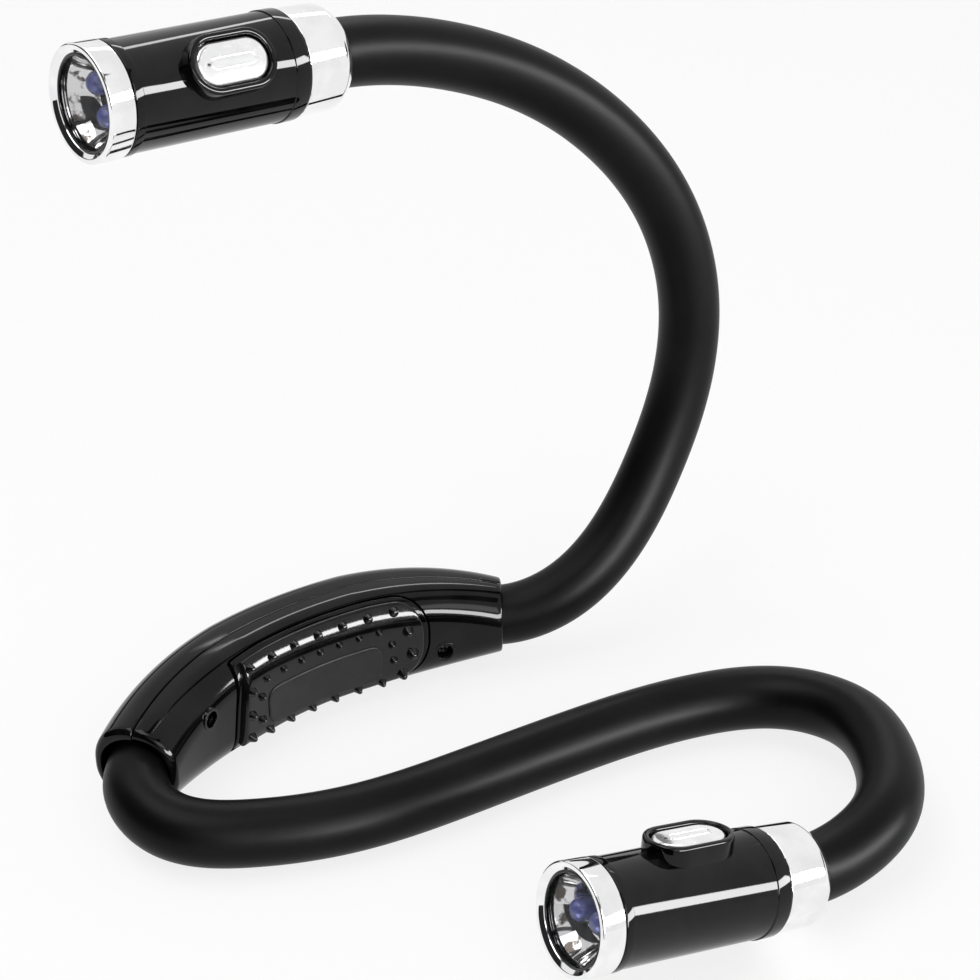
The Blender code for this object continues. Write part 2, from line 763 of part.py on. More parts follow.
def hinge_marks(sleeve_start, sleeve_end):
    """Distances along a route of its hinges, each at the middle of its sleeve."""
    length = (sleeve_end - sleeve_start) / HINGES
    return [sleeve_start + length * (k + 0.5) for k in range(HINGES)]


def build_arm(number, route, reach, rings, finishes, root):
    """Sleeves and core links of one arm, each under the empty of the hinge that moves it."""
    sleeve_start = ANCHOR_FLANGE_T + GAP
    sleeve_end = route.length - head_rear_offset() + TUBE_SEAT
    hinges = hinge_marks(sleeve_start, sleeve_end)
    stretch = (sleeve_end - sleeve_start) / HINGES
    flange_r = Section(reach, True).half_width - GAP
    core_end = route.length
    place = root
    links = [0] + hinges + [core_end]
    for k in range(HINGES + 1):
        if k > 0:
            position, tangent, across = route.at(hinges[k - 1])
            axis = across if k % 2 else tangent.cross(across)
            world = frame_matrix(position, tangent, axis.cross(tangent), axis)
            place = Place(f"arm_{number}_hinge_{k}", world, place)
            start = sleeve_start + stretch * (k - 1) + GAP / 2
            end = sleeve_start + stretch * k - GAP / 2
            sleeve = sleeve_solid(route, start, end, rings[k - 1])
            add_piece(f"arm_{number}_sleeve_{k}", sleeve, finishes["sleeve"], place, True)
        link = link_solid(route, links[k], links[k + 1], k > 0, k < HINGES, flange_r)
        add_piece(f"arm_{number}_core_{k}", link, finishes["core"], place, True)
    return place


# Lamp heads


def collar_solid():
    """Chrome collar that holds the arm's end, with a nose that enters the barrel."""
    bore = TUBE_R + GAP
    nose_r = BARREL_R - BARREL_WALL - GAP
    nose_end = COLLAR_L + COLLAR_NOSE_L
    hall_r = nose_r - COLLAR_NOSE_WALL
    seat = TUBE_SEAT + GAP
    rise = COLLAR_R - COLLAR_REAR_R
    shoulder_r = mix(COLLAR_REAR_R, COLLAR_R, COLLAR_SHOULDER_FULLNESS)
    return turned(
        [(bore, 0), (COLLAR_REAR_R - rise / 2, 0), (COLLAR_REAR_R, rise / 2),
         (shoulder_r, COLLAR_SHOULDER / 2), (COLLAR_R, COLLAR_SHOULDER), (COLLAR_R, COLLAR_L),
         (nose_r, COLLAR_L), (nose_r, nose_end), (hall_r, nose_end), (hall_r, seat), (bore, seat)],
        HEAD_SIDES,
    )


def plug_solid():
    """Round nut inside the collar that the core's last link passes through."""
    outer = BARREL_R - BARREL_WALL - COLLAR_NOSE_WALL - 2 * GAP
    bore = CORE_R + GAP
    low = TUBE_SEAT + 2 * GAP
    return turned([(bore, low), (outer, low), (outer, low + PLUG_L), (bore, low + PLUG_L)], TUBE_SIDES)


def barrel_front():
    """Height of the shoulder that the bezel meets."""
    return COLLAR_L + GAP + BARREL_L


def barrel_solid():
    """Barrel with a band at each end, a bore, and a nose that enters the bezel."""
    low = COLLAR_L + GAP
    high = barrel_front()
    bore = BARREL_R - BARREL_WALL
    waist = BARREL_R - BARREL_BAND_STEP
    nose_r = BEZEL_R - BEZEL_WALL - GAP
    nose_bore = nose_r - BARREL_NOSE_WALL
    nose_top = high + BARREL_NOSE_L
    return turned(
        [(bore, low), (BARREL_R, low), (BARREL_R, low + BARREL_REAR_BAND), (waist, low + BARREL_REAR_BAND),
         (waist, high - BARREL_FRONT_BAND), (BARREL_R, high - BARREL_FRONT_BAND), (BARREL_R, high),
         (nose_r, high), (nose_r, nose_top), (nose_bore, nose_top), (nose_bore, high - BARREL_WALL),
         (bore, high - BARREL_WALL)],
        HEAD_SIDES,
    )


def bezel_solid():
    """Chrome ring round the lens, its front lip rounded outside."""
    low = barrel_front() + GAP
    high = low + BEZEL_L
    bore = BEZEL_R - BEZEL_WALL
    edge = BEZEL_ROUND * (1 - math.sqrt(0.5))
    return turned(
        [(bore, low), (BEZEL_R, low), (BEZEL_R, high - BEZEL_ROUND), (BEZEL_R - edge, high - edge),
         (BEZEL_R - BEZEL_ROUND, high), (BEZEL_LIP_R, high), (BEZEL_LIP_R, high - BEZEL_LIP_T),
         (bore, high - BEZEL_LIP_T)],
        HEAD_SIDES,
    )


def lens_bottom():
    """Height of the lens's rear face, under the bezel's lip."""
    return barrel_front() + GAP + BEZEL_L - BEZEL_LIP_T - GAP - LENS_T


def lens_solid():
    """Clear disc behind the bezel's lip."""
    radius = BEZEL_R - BEZEL_WALL - GAP
    low = lens_bottom()
    return turned([(0, low), (radius, low), (radius, low + LENS_T), (0, low + LENS_T)], HEAD_SIDES)


def reflector_floor():
    """Height of the rear of the reflector's floor."""
    return lens_bottom() - GAP - REFLECTOR_DEPTH - REFLECTOR_T


def reflector_solid():
    """Bowl with a flange between the lens and the barrel's nose."""
    rim = lens_bottom() - GAP
    flange_r = BEZEL_R - BEZEL_WALL - GAP
    floor = reflector_floor()
    outer_r = REFLECTOR_MOUTH_R - REFLECTOR_T / 2
    floor_r = REFLECTOR_FLOOR_R + REFLECTOR_T / 2
    flange_low = barrel_front() + BARREL_NOSE_L + GAP
    return turned(
        [(0, floor), (floor_r, floor), (outer_r, flange_low), (flange_r, flange_low), (flange_r, rim),
         (REFLECTOR_MOUTH_R, rim), (REFLECTOR_FLOOR_R, floor + REFLECTOR_T), (0, floor + REFLECTOR_T)],
        HEAD_SIDES,
    )


def led_solid(side):
    """Domed LED with its flange, beside the head's axis."""
    base = reflector_floor() - GAP - LED_FLANGE_T
    dome = base + LED_FLANGE_T + LED_DOME_RISE
    lean = math.sqrt(0.5)
    bm = turned(
        [(0, base), (LED_FLANGE_R, base), (LED_FLANGE_R, base + LED_FLANGE_T), (LED_R, base + LED_FLANGE_T),
         (LED_R, dome - LED_R), (LED_R * lean, dome - LED_R * (1 - lean)), (0, dome)],
        CORE_SIDES + 2,
    )
    bmesh.ops.translate(bm, verts=bm.verts, vec=(0, side * LED_SPACING / 2, 0))
    return bm


def led_hole(side):
    """Cutter for one LED's hole through the reflector's floor."""
    radius = LED_R + GAP
    floor = reflector_floor()
    low = floor - OVERRUN
    high = floor + REFLECTOR_T + OVERRUN
    bm = turned([(0, low), (radius, low), (radius, high), (0, high)], CORE_SIDES + 2)
    bmesh.ops.translate(bm, verts=bm.verts, vec=(0, side * LED_SPACING / 2, 0))
    return bm


def led_board_solid():
    """Round board under the LEDs, across the barrel's bore."""
    high = reflector_floor() - 2 * GAP - LED_FLANGE_T
    radius = BARREL_R - BARREL_WALL - GAP
    return turned([(0, high - BOARD_T), (radius, high - BOARD_T), (radius, high), (0, high)], HEAD_SIDES)


def racetrack(half_l, half_w):
    """(across, along) outline with round ends."""
    points = []
    run = half_l - half_w
    for end, first in ((1, -90), (-1, 90)):
        for step in range(CORNER_STEPS + 1):
            angle = math.radians(first + 180 * step / CORNER_STEPS)
            points.append((half_w * math.sin(angle), end * run + half_w * math.cos(angle)))
    return points


def racetrack_solid(levels):
    """Stack of racetrack outlines at heights along X, as (height, half length, half width)."""
    bm = bmesh.new()
    rings = []
    centre = COLLAR_L + BUTTON_PLACE
    for height, half_l, half_w in levels:
        outline = racetrack(half_l, half_w)
        rings.append([bm.verts.new((height, across, centre + along)) for across, along in outline])
    skin(bm, rings, capped=True)
    return bm


def button_solid():
    """Push button with a retaining flange inside the barrel."""
    flange_low = BARREL_R - BUTTON_FLANGE_DEPTH - BUTTON_FLANGE_T
    flange_high = BARREL_R - BUTTON_FLANGE_DEPTH
    top = BARREL_R + BUTTON_PROUD
    flange_l = BUTTON_HALF_L + BUTTON_FLANGE
    flange_w = BUTTON_HALF_W + BUTTON_FLANGE
    return racetrack_solid((
        (flange_low, flange_l, flange_w),
        (flange_high, flange_l, flange_w),
        (flange_high, BUTTON_HALF_L, BUTTON_HALF_W),
        (top - BUTTON_EDGE, BUTTON_HALF_L, BUTTON_HALF_W),
        (top, BUTTON_HALF_L - BUTTON_EDGE, BUTTON_HALF_W - BUTTON_EDGE),
    ))


def rim_solid():
    """Raised rim round the button, joined to the barrel."""
    half_l = BUTTON_HALF_L + GAP + RIM_W
    half_w = BUTTON_HALF_W + GAP + RIM_W
    return racetrack_solid((
        (BARREL_R - RIM_ROOT_DEPTH, half_l, half_w),
        (BARREL_R + RIM_PROUD - BUTTON_EDGE, half_l, half_w),
        (BARREL_R + RIM_PROUD, half_l - BUTTON_EDGE, half_w - BUTTON_EDGE),
    ))


def button_hole():
    """Cutter for the button's hole through the rim and the barrel's wall."""
    half_l = BUTTON_HALF_L + GAP
    half_w = BUTTON_HALF_W + GAP
    low = BARREL_R - BUTTON_FLANGE_DEPTH - OVERRUN
    return racetrack_solid(((low, half_l, half_w), (BARREL_R + RIM_PROUD + OVERRUN, half_l, half_w)))


def switch_top():
    """Height of the switch's plunger: the pressed button stops just above it."""
    return BARREL_R - BUTTON_FLANGE_DEPTH - BUTTON_FLANGE_T - BUTTON_TRAVEL - GAP


def switch_solid():
    """Tact switch: a square body and a round plunger under the button."""
    centre = COLLAR_L + BUTTON_PLACE
    plunger_low = switch_top() - SWITCH_PLUNGER_H
    half = SWITCH_W / 2
    square = ((1, 0), (1, 1), (0, 1), (-1, 1), (-1, 0), (-1, -1), (0, -1), (1, -1))
    bm = bmesh.new()
    rings = []
    for height in (plunger_low - SWITCH_H, plunger_low):
        rings.append([bm.verts.new((height, half * y, centre + half * z)) for y, z in square])
    for height in (plunger_low, switch_top()):
        ring = []
        for y, z in square:
            scale = SWITCH_PLUNGER_R / math.hypot(y, z)
            ring.append(bm.verts.new((height, scale * y, centre + scale * z)))
        rings.append(ring)
    skin(bm, rings, capped=True)
    return bm


def switch_board_solid():
    """Long board under the switch, wall to wall in the barrel's bore."""
    high = switch_top() - SWITCH_PLUNGER_H - SWITCH_H - GAP
    bore = (BARREL_R - BARREL_WALL) * math.cos(math.pi / HEAD_SIDES)
    half_w = math.sqrt(bore**2 - high**2) - GAP
    low_z = COLLAR_L + COLLAR_NOSE_L + GAP
    return block((high - BOARD_T, -half_w, low_z), (high, half_w, low_z + SWITCH_BOARD_L))


def head_place(number, route, aim_up, arm_place):
    """Place of a head: +Z along its axis and +X out through its button."""
    tip, ahead, _ = route.at(route.length)
    rear = tip - ahead * head_rear_offset()
    out = (aim_up - ahead * aim_up.dot(ahead)).normalized()
    return Place(f"head_{number}_place", frame_matrix(rear, out, ahead.cross(out), ahead), arm_place)


def head_rear_offset():
    """Distance from the collar's rear rim to the end of the arm's core."""
    return TUBE_SEAT + PLUG_L + PLUG_HEAD_T + 3 * GAP


def build_head(number, place, finishes):
    """The twelve pieces of one lamp head."""
    pieces = (
        ("collar", collar_solid(), "chrome"),
        ("arm_plug", plug_solid(), "core"),
        ("barrel", barrel_solid(), "smoke"),
        ("bezel_ring", bezel_solid(), "chrome"),
        ("lens", lens_solid(), "lens"),
        ("reflector", reflector_solid(), "chrome"),
        ("led_a", led_solid(1), "led"),
        ("led_b", led_solid(-1), "led"),
        ("led_board", led_board_solid(), "board"),
        ("button", button_solid(), "button"),
        ("tact_switch", switch_solid(), "core"),
        ("switch_board", switch_board_solid(), "board"),
    )
    made = {}
    for name, solid, finish in pieces:
        made[name] = add_piece(f"head_{number}_{name}", solid, finishes[finish], place)
    rim = add_piece(f"head_{number}_rim_tool", rim_solid(), finishes["smoke"], place)
    hole = add_piece(f"head_{number}_button_hole_tool", button_hole(), finishes["smoke"], place)
    combine(made["barrel"], rim, "UNION")
    combine(made["barrel"], hole, "DIFFERENCE")
    for side in (1, -1):
        cutter = add_piece(f"head_{number}_led_hole_tool", led_hole(side), finishes["chrome"], place)
        combine(made["reflector"], cutter, "DIFFERENCE")


def make_finishes():
    """One material for each kind of piece."""
    return {
        "smoke": material("smoked_plastic", (0.02, 0.02, 0.022), 0.12),
        "pad": material("pad_plastic", (0.03, 0.03, 0.032), 0.25),
        "chrome": material("chrome_plate", (0.85, 0.85, 0.87), 0.06, 1.0),
        "sleeve": material("soft_sleeve", (0.02, 0.02, 0.02), 0.6),
        "core": material("dark_plastic", (0.08, 0.08, 0.085), 0.5),
        "lens": material("clear_lens", (0.9, 0.92, 0.95), 0.02),
        "led": material("led_epoxy", (0.75, 0.8, 0.95), 0.1),
        "board": material("board", (0.05, 0.2, 0.1), 0.5),
        "button": material("button_plate", (0.85, 0.85, 0.86), 0.15, 0.8),
        "steel": material("steel", (0.6, 0.6, 0.62), 0.3, 1.0),
        "cell": material("cell_jacket", (0.25, 0.27, 0.3), 0.35, 0.3),
    }


def main():
    """Build the light in an emptied scene."""
    for thing in list(bpy.data.objects):
        bpy.data.objects.remove(thing)
    finishes = make_finishes()
    root = build_housing(finishes)
    build_cells(finishes, root)
    straight = head_rear_offset()
    right = RIGHT_ANCHOR_INSET - RIGHT_REACH
    left = LEFT_REACH - LEFT_ANCHOR_INSET
    upper = Route(right, -1, UPPER_SPAN, UPPER_ROUTE_SHARES, UPPER_HEAD_SHARES, straight)
    lower = Route(left, 1, LOWER_SPAN, LOWER_ROUTE_SHARES, LOWER_HEAD_SHARES, straight)
    arms = ((1, upper, right, UPPER_SLEEVE_RINGS), (2, lower, left, LOWER_SLEEVE_RINGS))
    for number, route, reach, rings in arms:
        tip = build_arm(number, route, reach, rings, finishes, root)
        place = head_place(number, route, Vector(BUTTON_AIM_SHARES[number]), tip)
        build_head(number, place, finishes)


main()
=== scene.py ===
"""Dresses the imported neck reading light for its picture.

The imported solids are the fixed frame. Each sub-assembly is a class that repeats the sizes it needs
from the part's source, in millimetres, and builds finer pieces in the same places.
"""

import json
import logging
from collections.abc import Iterable, Sequence
from dataclasses import dataclass
from enum import Enum
from math import copysign, cos, hypot, pi, radians, sin, sqrt, tan, tau

import bmesh
import bpy
import numpy as np
from mathutils import Matrix, Vector

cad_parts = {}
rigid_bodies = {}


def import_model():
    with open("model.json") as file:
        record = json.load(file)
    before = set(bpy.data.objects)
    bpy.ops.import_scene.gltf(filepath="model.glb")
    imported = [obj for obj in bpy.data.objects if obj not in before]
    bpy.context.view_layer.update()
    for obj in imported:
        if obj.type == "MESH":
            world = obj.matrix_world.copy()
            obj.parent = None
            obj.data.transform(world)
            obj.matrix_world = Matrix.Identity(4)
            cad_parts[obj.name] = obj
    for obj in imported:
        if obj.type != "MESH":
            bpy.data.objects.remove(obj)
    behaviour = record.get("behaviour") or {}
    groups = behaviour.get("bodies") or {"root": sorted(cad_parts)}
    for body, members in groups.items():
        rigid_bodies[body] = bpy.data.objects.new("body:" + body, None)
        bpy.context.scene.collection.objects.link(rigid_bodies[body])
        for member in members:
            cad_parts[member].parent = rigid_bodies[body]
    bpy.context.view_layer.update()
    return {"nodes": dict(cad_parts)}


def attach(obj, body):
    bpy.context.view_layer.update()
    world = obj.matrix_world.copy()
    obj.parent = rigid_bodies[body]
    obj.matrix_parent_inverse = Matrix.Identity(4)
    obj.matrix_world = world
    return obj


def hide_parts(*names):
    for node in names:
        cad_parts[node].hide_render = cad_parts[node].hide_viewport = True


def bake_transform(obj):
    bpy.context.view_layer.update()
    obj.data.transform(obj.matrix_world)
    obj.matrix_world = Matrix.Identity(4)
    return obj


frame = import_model()
log = logging.getLogger("neck light")

MM = 0.001
GAP = 0.3
TINY = 1e-3
MERGE_DISTANCE = 1e-5
CORNER_LIMIT = 0.49
EDGE_TURNS = (0, 25, 45, 65, 90)
UP = Vector((0, 0, 1))
WHITE = (1.0, 1.0, 1.0, 1.0)

Numbers = Sequence[float]
Corners = tuple[tuple[float, ...], ...]
Outline = list[tuple[float, float]]
Mesh = bmesh.types.BMesh
Piece = bpy.types.Object
Material = bpy.types.Material
Socket = bpy.types.NodeSocket


class Slot(Enum):
    """Names of the record's material slots, handed along with each finer piece."""

    SMOKE = "smoked_plastic"
    PAD = "pad_plastic"
    STEEL = "plated_steel"
    SLEEVE = "soft_sleeve"
    CHROME = "chrome_plate"
    LENS = "clear_lens"
    LED = "led_epoxy"
    BUTTON = "button_plate"


def mix(start: float, end: float, share: float) -> float:
    """Value at a share of the way from start to end."""
    return start + (end - start) * share


class Graph:
    """Node tree that is filled node by node."""

    def __init__(self, tree: bpy.types.NodeTree) -> None:
        """Takes the tree to fill."""
        self.tree = tree

    def fill(self, node: bpy.types.Node, inputs: dict) -> None:
        """Sets a node's inputs.

        Args:
            node: The node.
            inputs: Input name or number to a value, or to the socket that feeds it.
        """
        for key, value in inputs.items():
            if isinstance(value, Socket):
                self.tree.links.new(value, node.inputs[key])
            else:
                node.inputs[key].default_value = value

    def add(self, kind: str, inputs: dict, out: str | int = 0, **settings: object) -> Socket | None:
        """Adds a node.

        Args:
            kind: Node type.
            inputs: Its inputs, as fill takes them.
            out: Name or number of the wanted output.
            settings: Attributes of the node.

        Returns:
            The wanted output, or None where the node has none.
        """
        node = self.tree.nodes.new(kind)
        for key, value in settings.items():
            setattr(node, key, value)
        self.fill(node, inputs)
        return node.outputs[out] if len(node.outputs) else None

    def math(self, operation: str, first: Socket | float, second: Socket | float) -> Socket:
        """Result of one Math node."""
        return self.add("ShaderNodeMath", {0: first, 1: second}, operation=operation)

    def noise(self, place: Socket, scale: float, detail: float = 2.0) -> Socket:
        """Level of a noise."""
        return self.add("ShaderNodeTexNoise", {"Vector": place, "Scale": scale, "Detail": detail})

    def spread(self, value: Socket, start: Numbers, end: Numbers, soft: bool = False) -> Socket:
        """Spreads one range over another.

        Args:
            value: Value in the first range.
            start: Ends of the first range.
            end: Ends of the second range.
            soft: Whether it eases in and out.

        Returns:
            The value in the second range.
        """
        ends = {"From Min": start[0], "From Max": start[1], "To Min": end[0], "To Max": end[1]}
        kind = "SMOOTHSTEP" if soft else "LINEAR"
        return self.add("ShaderNodeMapRange", {"Value": value, **ends}, interpolation_type=kind)

    def seen(self) -> tuple[Socket, Socket]:
        """Marks of the rays from the camera, and of those by way of gloss or glass."""
        rays = self.tree.nodes.new("ShaderNodeLightPath").outputs
        return rays["Is Camera Ray"], self.math("MAXIMUM", rays["Is Glossy Ray"], rays["Is Transmission Ray"])


def open_material(name: str) -> tuple[Material, Graph, bpy.types.Node, Socket]:
    """Starts a material.

    Args:
        name: Its name.

    Returns:
        The material, its graph, its shader and its Object coordinates.
    """
    made = bpy.data.materials.new(name)
    made.use_nodes = True
    graph = Graph(made.node_tree)
    return made, graph, graph.tree.nodes["Principled BSDF"], graph.add("ShaderNodeTexCoord", {}, "Object")


@dataclass(frozen=True)
class Finish:
    """Procedural material: two colours, a roughness range and a fine relief.

    All three follow noise on the piece's own coordinates, whose scales count per metre.
    """

    name: str
    dark: tuple[float, float, float]
    light: tuple[float, float, float]
    blotch_scale: float
    rough_low: float
    rough_high: float
    grain_scale: float
    grain_depth: float
    specular: float = 0.5
    metallic: float = 0.0
    blotches: tuple[float, float] = (0.35, 0.7)
    coat: float = 0.0
    transmission: float = 0.0
    ior: float = 1.5
    alpha: float = 1.0

    def build(self) -> Material:
        """Makes the material.

        Returns:
            The material.
        """
        made, graph, shader, place = open_material(self.name)
        share = graph.spread(graph.noise(place, self.blotch_scale, 4.0), self.blotches, (0, 1), True)
        tones = {0: share, 6: (*self.dark, 1.0), 7: (*self.light, 1.0)}
        grain = graph.noise(place, self.grain_scale, 3.0)
        relief = {"Height": grain, "Strength": 1.0, "Distance": self.grain_depth * MM}
        inputs = {
            "Base Color": graph.add("ShaderNodeMix", tones, 2, data_type="RGBA"),
            "Roughness": graph.spread(grain, (0, 1), (self.rough_low, self.rough_high)),
            "Normal": graph.add("ShaderNodeBump", relief),
            "Specular IOR Level": self.specular,
            "Metallic": self.metallic,
            "Coat Weight": self.coat,
            "Transmission Weight": self.transmission,
            "IOR": self.ior,
            "Alpha": self.alpha,
        }
        graph.fill(shader, inputs)
        return made


FINISHES = (
    Finish("smoked_gloss", (0.0015, 0.0015, 0.0017), (0.0065, 0.0065, 0.0072), 95, 0.04, 0.09, 700, 0.002,
           specular=0.21),
    Finish("smoked_barrel", (0.001, 0.001, 0.0012), (0.005, 0.005, 0.0056), 160, 0.02, 0.06, 900, 0.0015,
           specular=0.27),
    Finish("pad_gloss", (0.004, 0.004, 0.0042), (0.009, 0.009, 0.0095), 220, 0.07, 0.13, 2600, 0.004, 0.34),
    Finish("nub_gloss", (0.001, 0.001, 0.0011), (0.004, 0.004, 0.0042), 400, 0.12, 0.22, 2600, 0.004, 0.42),
    Finish("pad_plate", (0.011, 0.011, 0.0115), (0.016, 0.016, 0.0165), 260, 0.3, 0.4, 3400, 0.006, 0.3),
    Finish("soft_sleeve", (0.0015, 0.0015, 0.0016), (0.0035, 0.0035, 0.0037), 60, 0.36, 0.44, 5200, 0.01,
           specular=0.12),
    Finish("chrome", (0.86, 0.86, 0.87), (0.95, 0.95, 0.95), 140, 0.03, 0.06, 1500, 0.0008, 0.5, 1.0),
    # The bowl's dark brown blotches are painted reflections of a dark room, not a colour of its chrome.
    Finish("bowl_chrome", (0.1, 0.085, 0.075), (0.93, 0.93, 0.94), 330, 0.03, 0.07, 1200, 0.003, 0.5, 1.0,
           blotches=(0.38, 0.5)),
    Finish("button_chrome", (0.88, 0.88, 0.89), (0.96, 0.96, 0.96), 200, 0.1, 0.16, 2400, 0.002, 0.5, 0.8),
    Finish("clear_lens", (0.03, 0.032, 0.036), (0.06, 0.062, 0.066), 90, 0.01, 0.03, 900, 0.0005, 0.8,
           alpha=0.12, ior=1.49),
    Finish("led_epoxy", (0.2, 0.23, 0.82), (0.5, 0.55, 1.0), 500, 0.01, 0.04, 1600, 0.001, transmission=0.6),
    Finish("led_chip", (0.85, 0.8, 0.35), (0.95, 0.92, 0.6), 900, 0.35, 0.5, 3000, 0.004),
    Finish("led_cup", (0.6, 0.6, 0.62), (0.85, 0.85, 0.87), 900, 0.15, 0.3, 3000, 0.002, 0.5, 1.0),
    Finish("steel", (0.5, 0.5, 0.51), (0.7, 0.7, 0.71), 500, 0.18, 0.34, 2600, 0.003, 0.5, 1.0),
    Finish("screw_black", (0.02, 0.02, 0.021), (0.06, 0.06, 0.062), 700, 0.22, 0.38, 2600, 0.003, 0.5, 1.0),
    Finish("core_plastic", (0.03, 0.03, 0.032), (0.06, 0.06, 0.064), 300, 0.4, 0.55, 2400, 0.01),
    Finish("board", (0.02, 0.13, 0.06), (0.04, 0.22, 0.1), 380, 0.35, 0.5, 1800, 0.006, coat=0.3),
    Finish("cell_jacket", (0.16, 0.18, 0.2), (0.3, 0.32, 0.35), 120, 0.2, 0.35, 1400, 0.003, 0.5, 0.4,
           coat=0.3),
    Finish("dot_black", (0.01, 0.01, 0.011), (0.03, 0.03, 0.032), 900, 0.2, 0.3, 3000, 0.003),
)


def solid(
    rings: Iterable[Iterable[Numbers]], looped: bool = False, capped: bool = False, merged: bool = False
) -> Mesh:
    """Skins rings of points.

    Args:
        rings: Rings in order, in millimetres; a ring of one point is a pole.
        looped: Whether the last ring joins the first.
        capped: Whether the first and last ring are closed with a face.
        merged: Whether points in one place become one.

    Returns:
        The closed mesh.
    """
    bm = bmesh.new()
    made = [[bm.verts.new(point) for point in ring] for ring in rings]
    pairs = list(zip(made, made[1:]))
    if looped:
        pairs.append((made[-1], made[0]))
    for low, high in pairs:
        for k in range(max(len(low), len(high))):
            corners = [low[k % len(low)], low[(k + 1) % len(low)]]
            corners += [high[(k + 1) % len(high)], high[k % len(high)]]
            bm.faces.new(list(dict.fromkeys(corners)))
    if capped:
        bm.faces.new(made[0])
        bm.faces.new(made[-1])
    if merged:
        bmesh.ops.remove_doubles(bm, verts=bm.verts, dist=MERGE_DISTANCE)
    return bm


def turned(profile: Sequence[Numbers], sides: int) -> Mesh:
    """Turns a profile about Z.

    Args:
        profile: (radius, height) points; a radius of 0 is a pole.
        sides: Sides of the solid.

    Returns:
        The closed mesh.
    """
    rings = []
    for radius, height in profile:
        turns = [tau * k / sides for k in range(sides if radius else 1)]
        rings.append([(radius * cos(turn), radius * sin(turn), height) for turn in turns])
    return solid(rings, looped=profile[0][0] > 0)


def rounded_line(corners: Sequence[Numbers], closed: bool, steps: int = 5) -> Outline:
    """Line through corners, each rounded by its own radius.

    Args:
        corners: (x, y, radius) of each corner, in order.
        closed: Whether the line returns to its first corner.
        steps: Points on each rounded corner, less one.

    Returns:
        The points of the line.
    """
    made: Outline = []
    count = len(corners)
    for k, (x, y, radius) in enumerate(corners):
        if radius == 0 or not closed and k in (0, count - 1):
            made.append((x, y))
            continue
        here = Vector((x, y))
        before = Vector(corners[k - 1][:2]) - here
        after = Vector(corners[(k + 1) % count][:2]) - here
        longest = min(before.length, after.length) * CORNER_LIMIT
        run = min(radius / tan(before.angle(after) / 2), longest)
        first = here + before.normalized() * run
        last = here + after.normalized() * run
        for step in range(steps + 1):
            share = step / steps
            point = first * (1 - share) ** 2 + here * (2 * share * (1 - share)) + last * share**2
            made.append((point.x, point.y))
    return made


def smooth(mesh: bpy.types.Mesh, sharp_deg: float = 40.0) -> None:
    """Smooths a mesh but for the edges that turn by more than an angle."""
    mesh.shade_smooth()
    mesh.set_sharp_from_angle(angle=radians(sharp_deg))


def link_object(name: str, mesh: bpy.types.Mesh) -> Piece:
    """Puts a mesh in the scene at the origin.

    Args:
        name: Name of the object.
        mesh: Its mesh.

    Returns:
        The object.
    """
    made = bpy.data.objects.new(name, mesh)
    bpy.context.scene.collection.objects.link(made)
    return made


def make_piece(name: str, bm: Mesh, finish: Material, place: Matrix | None = None) -> Piece:
    """Turns a bmesh in millimetres into an object at the origin, in metres.

    Args:
        name: Name of the piece.
        bm: Closed mesh, which is freed.
        finish: Its material.
        place: Place of the mesh, in metres.

    Returns:
        The object.
    """
    bmesh.ops.recalc_face_normals(bm, faces=bm.faces)
    mesh = bpy.data.meshes.new(name)
    bm.to_mesh(mesh)
    bm.free()
    mesh.transform(Matrix.Scale(MM, 4))
    if place is not None:
        mesh.transform(place)
    smooth(mesh)
    mesh.materials.append(finish)
    return link_object(name, mesh)


def evaluated_piece(name: str, source: Piece, sharp_deg: float = 40.0) -> Piece:
    """Replaces an object by a plain mesh with its modifiers applied.

    Args:
        name: Name of the plain piece.
        source: Object with its modifiers, which is removed.
        sharp_deg: Edges that turn by more than this stay crisp.

    Returns:
        The plain object.
    """
    depsgraph = bpy.context.evaluated_depsgraph_get()
    mesh = bpy.data.meshes.new_from_object(
        source.evaluated_get(depsgraph), preserve_all_data_layers=True, depsgraph=depsgraph
    )
    bpy.data.objects.remove(source)
    mesh.name = name
    smooth(mesh, sharp_deg)
    return link_object(name, mesh)


def carve(target: Piece, tools: Sequence[tuple[Piece, str]]) -> Piece:
    """Joins tools to a piece or cuts them out of it.

    Args:
        target: Closed piece.
        tools: Closed tools with UNION or DIFFERENCE, in order; they are removed.

    Returns:
        The plain piece that results, under the target's name.
    """
    name = target.name
    for tool, operation in tools:
        modifier = target.modifiers.new(tool.name, "BOOLEAN")
        modifier.operation = operation
        modifier.solver = "MANIFOLD"
        modifier.object = tool
    target.name = f"{name}_uncut"
    made = evaluated_piece(name, target)
    for tool, _ in tools:
        bpy.data.objects.remove(tool)
    return made


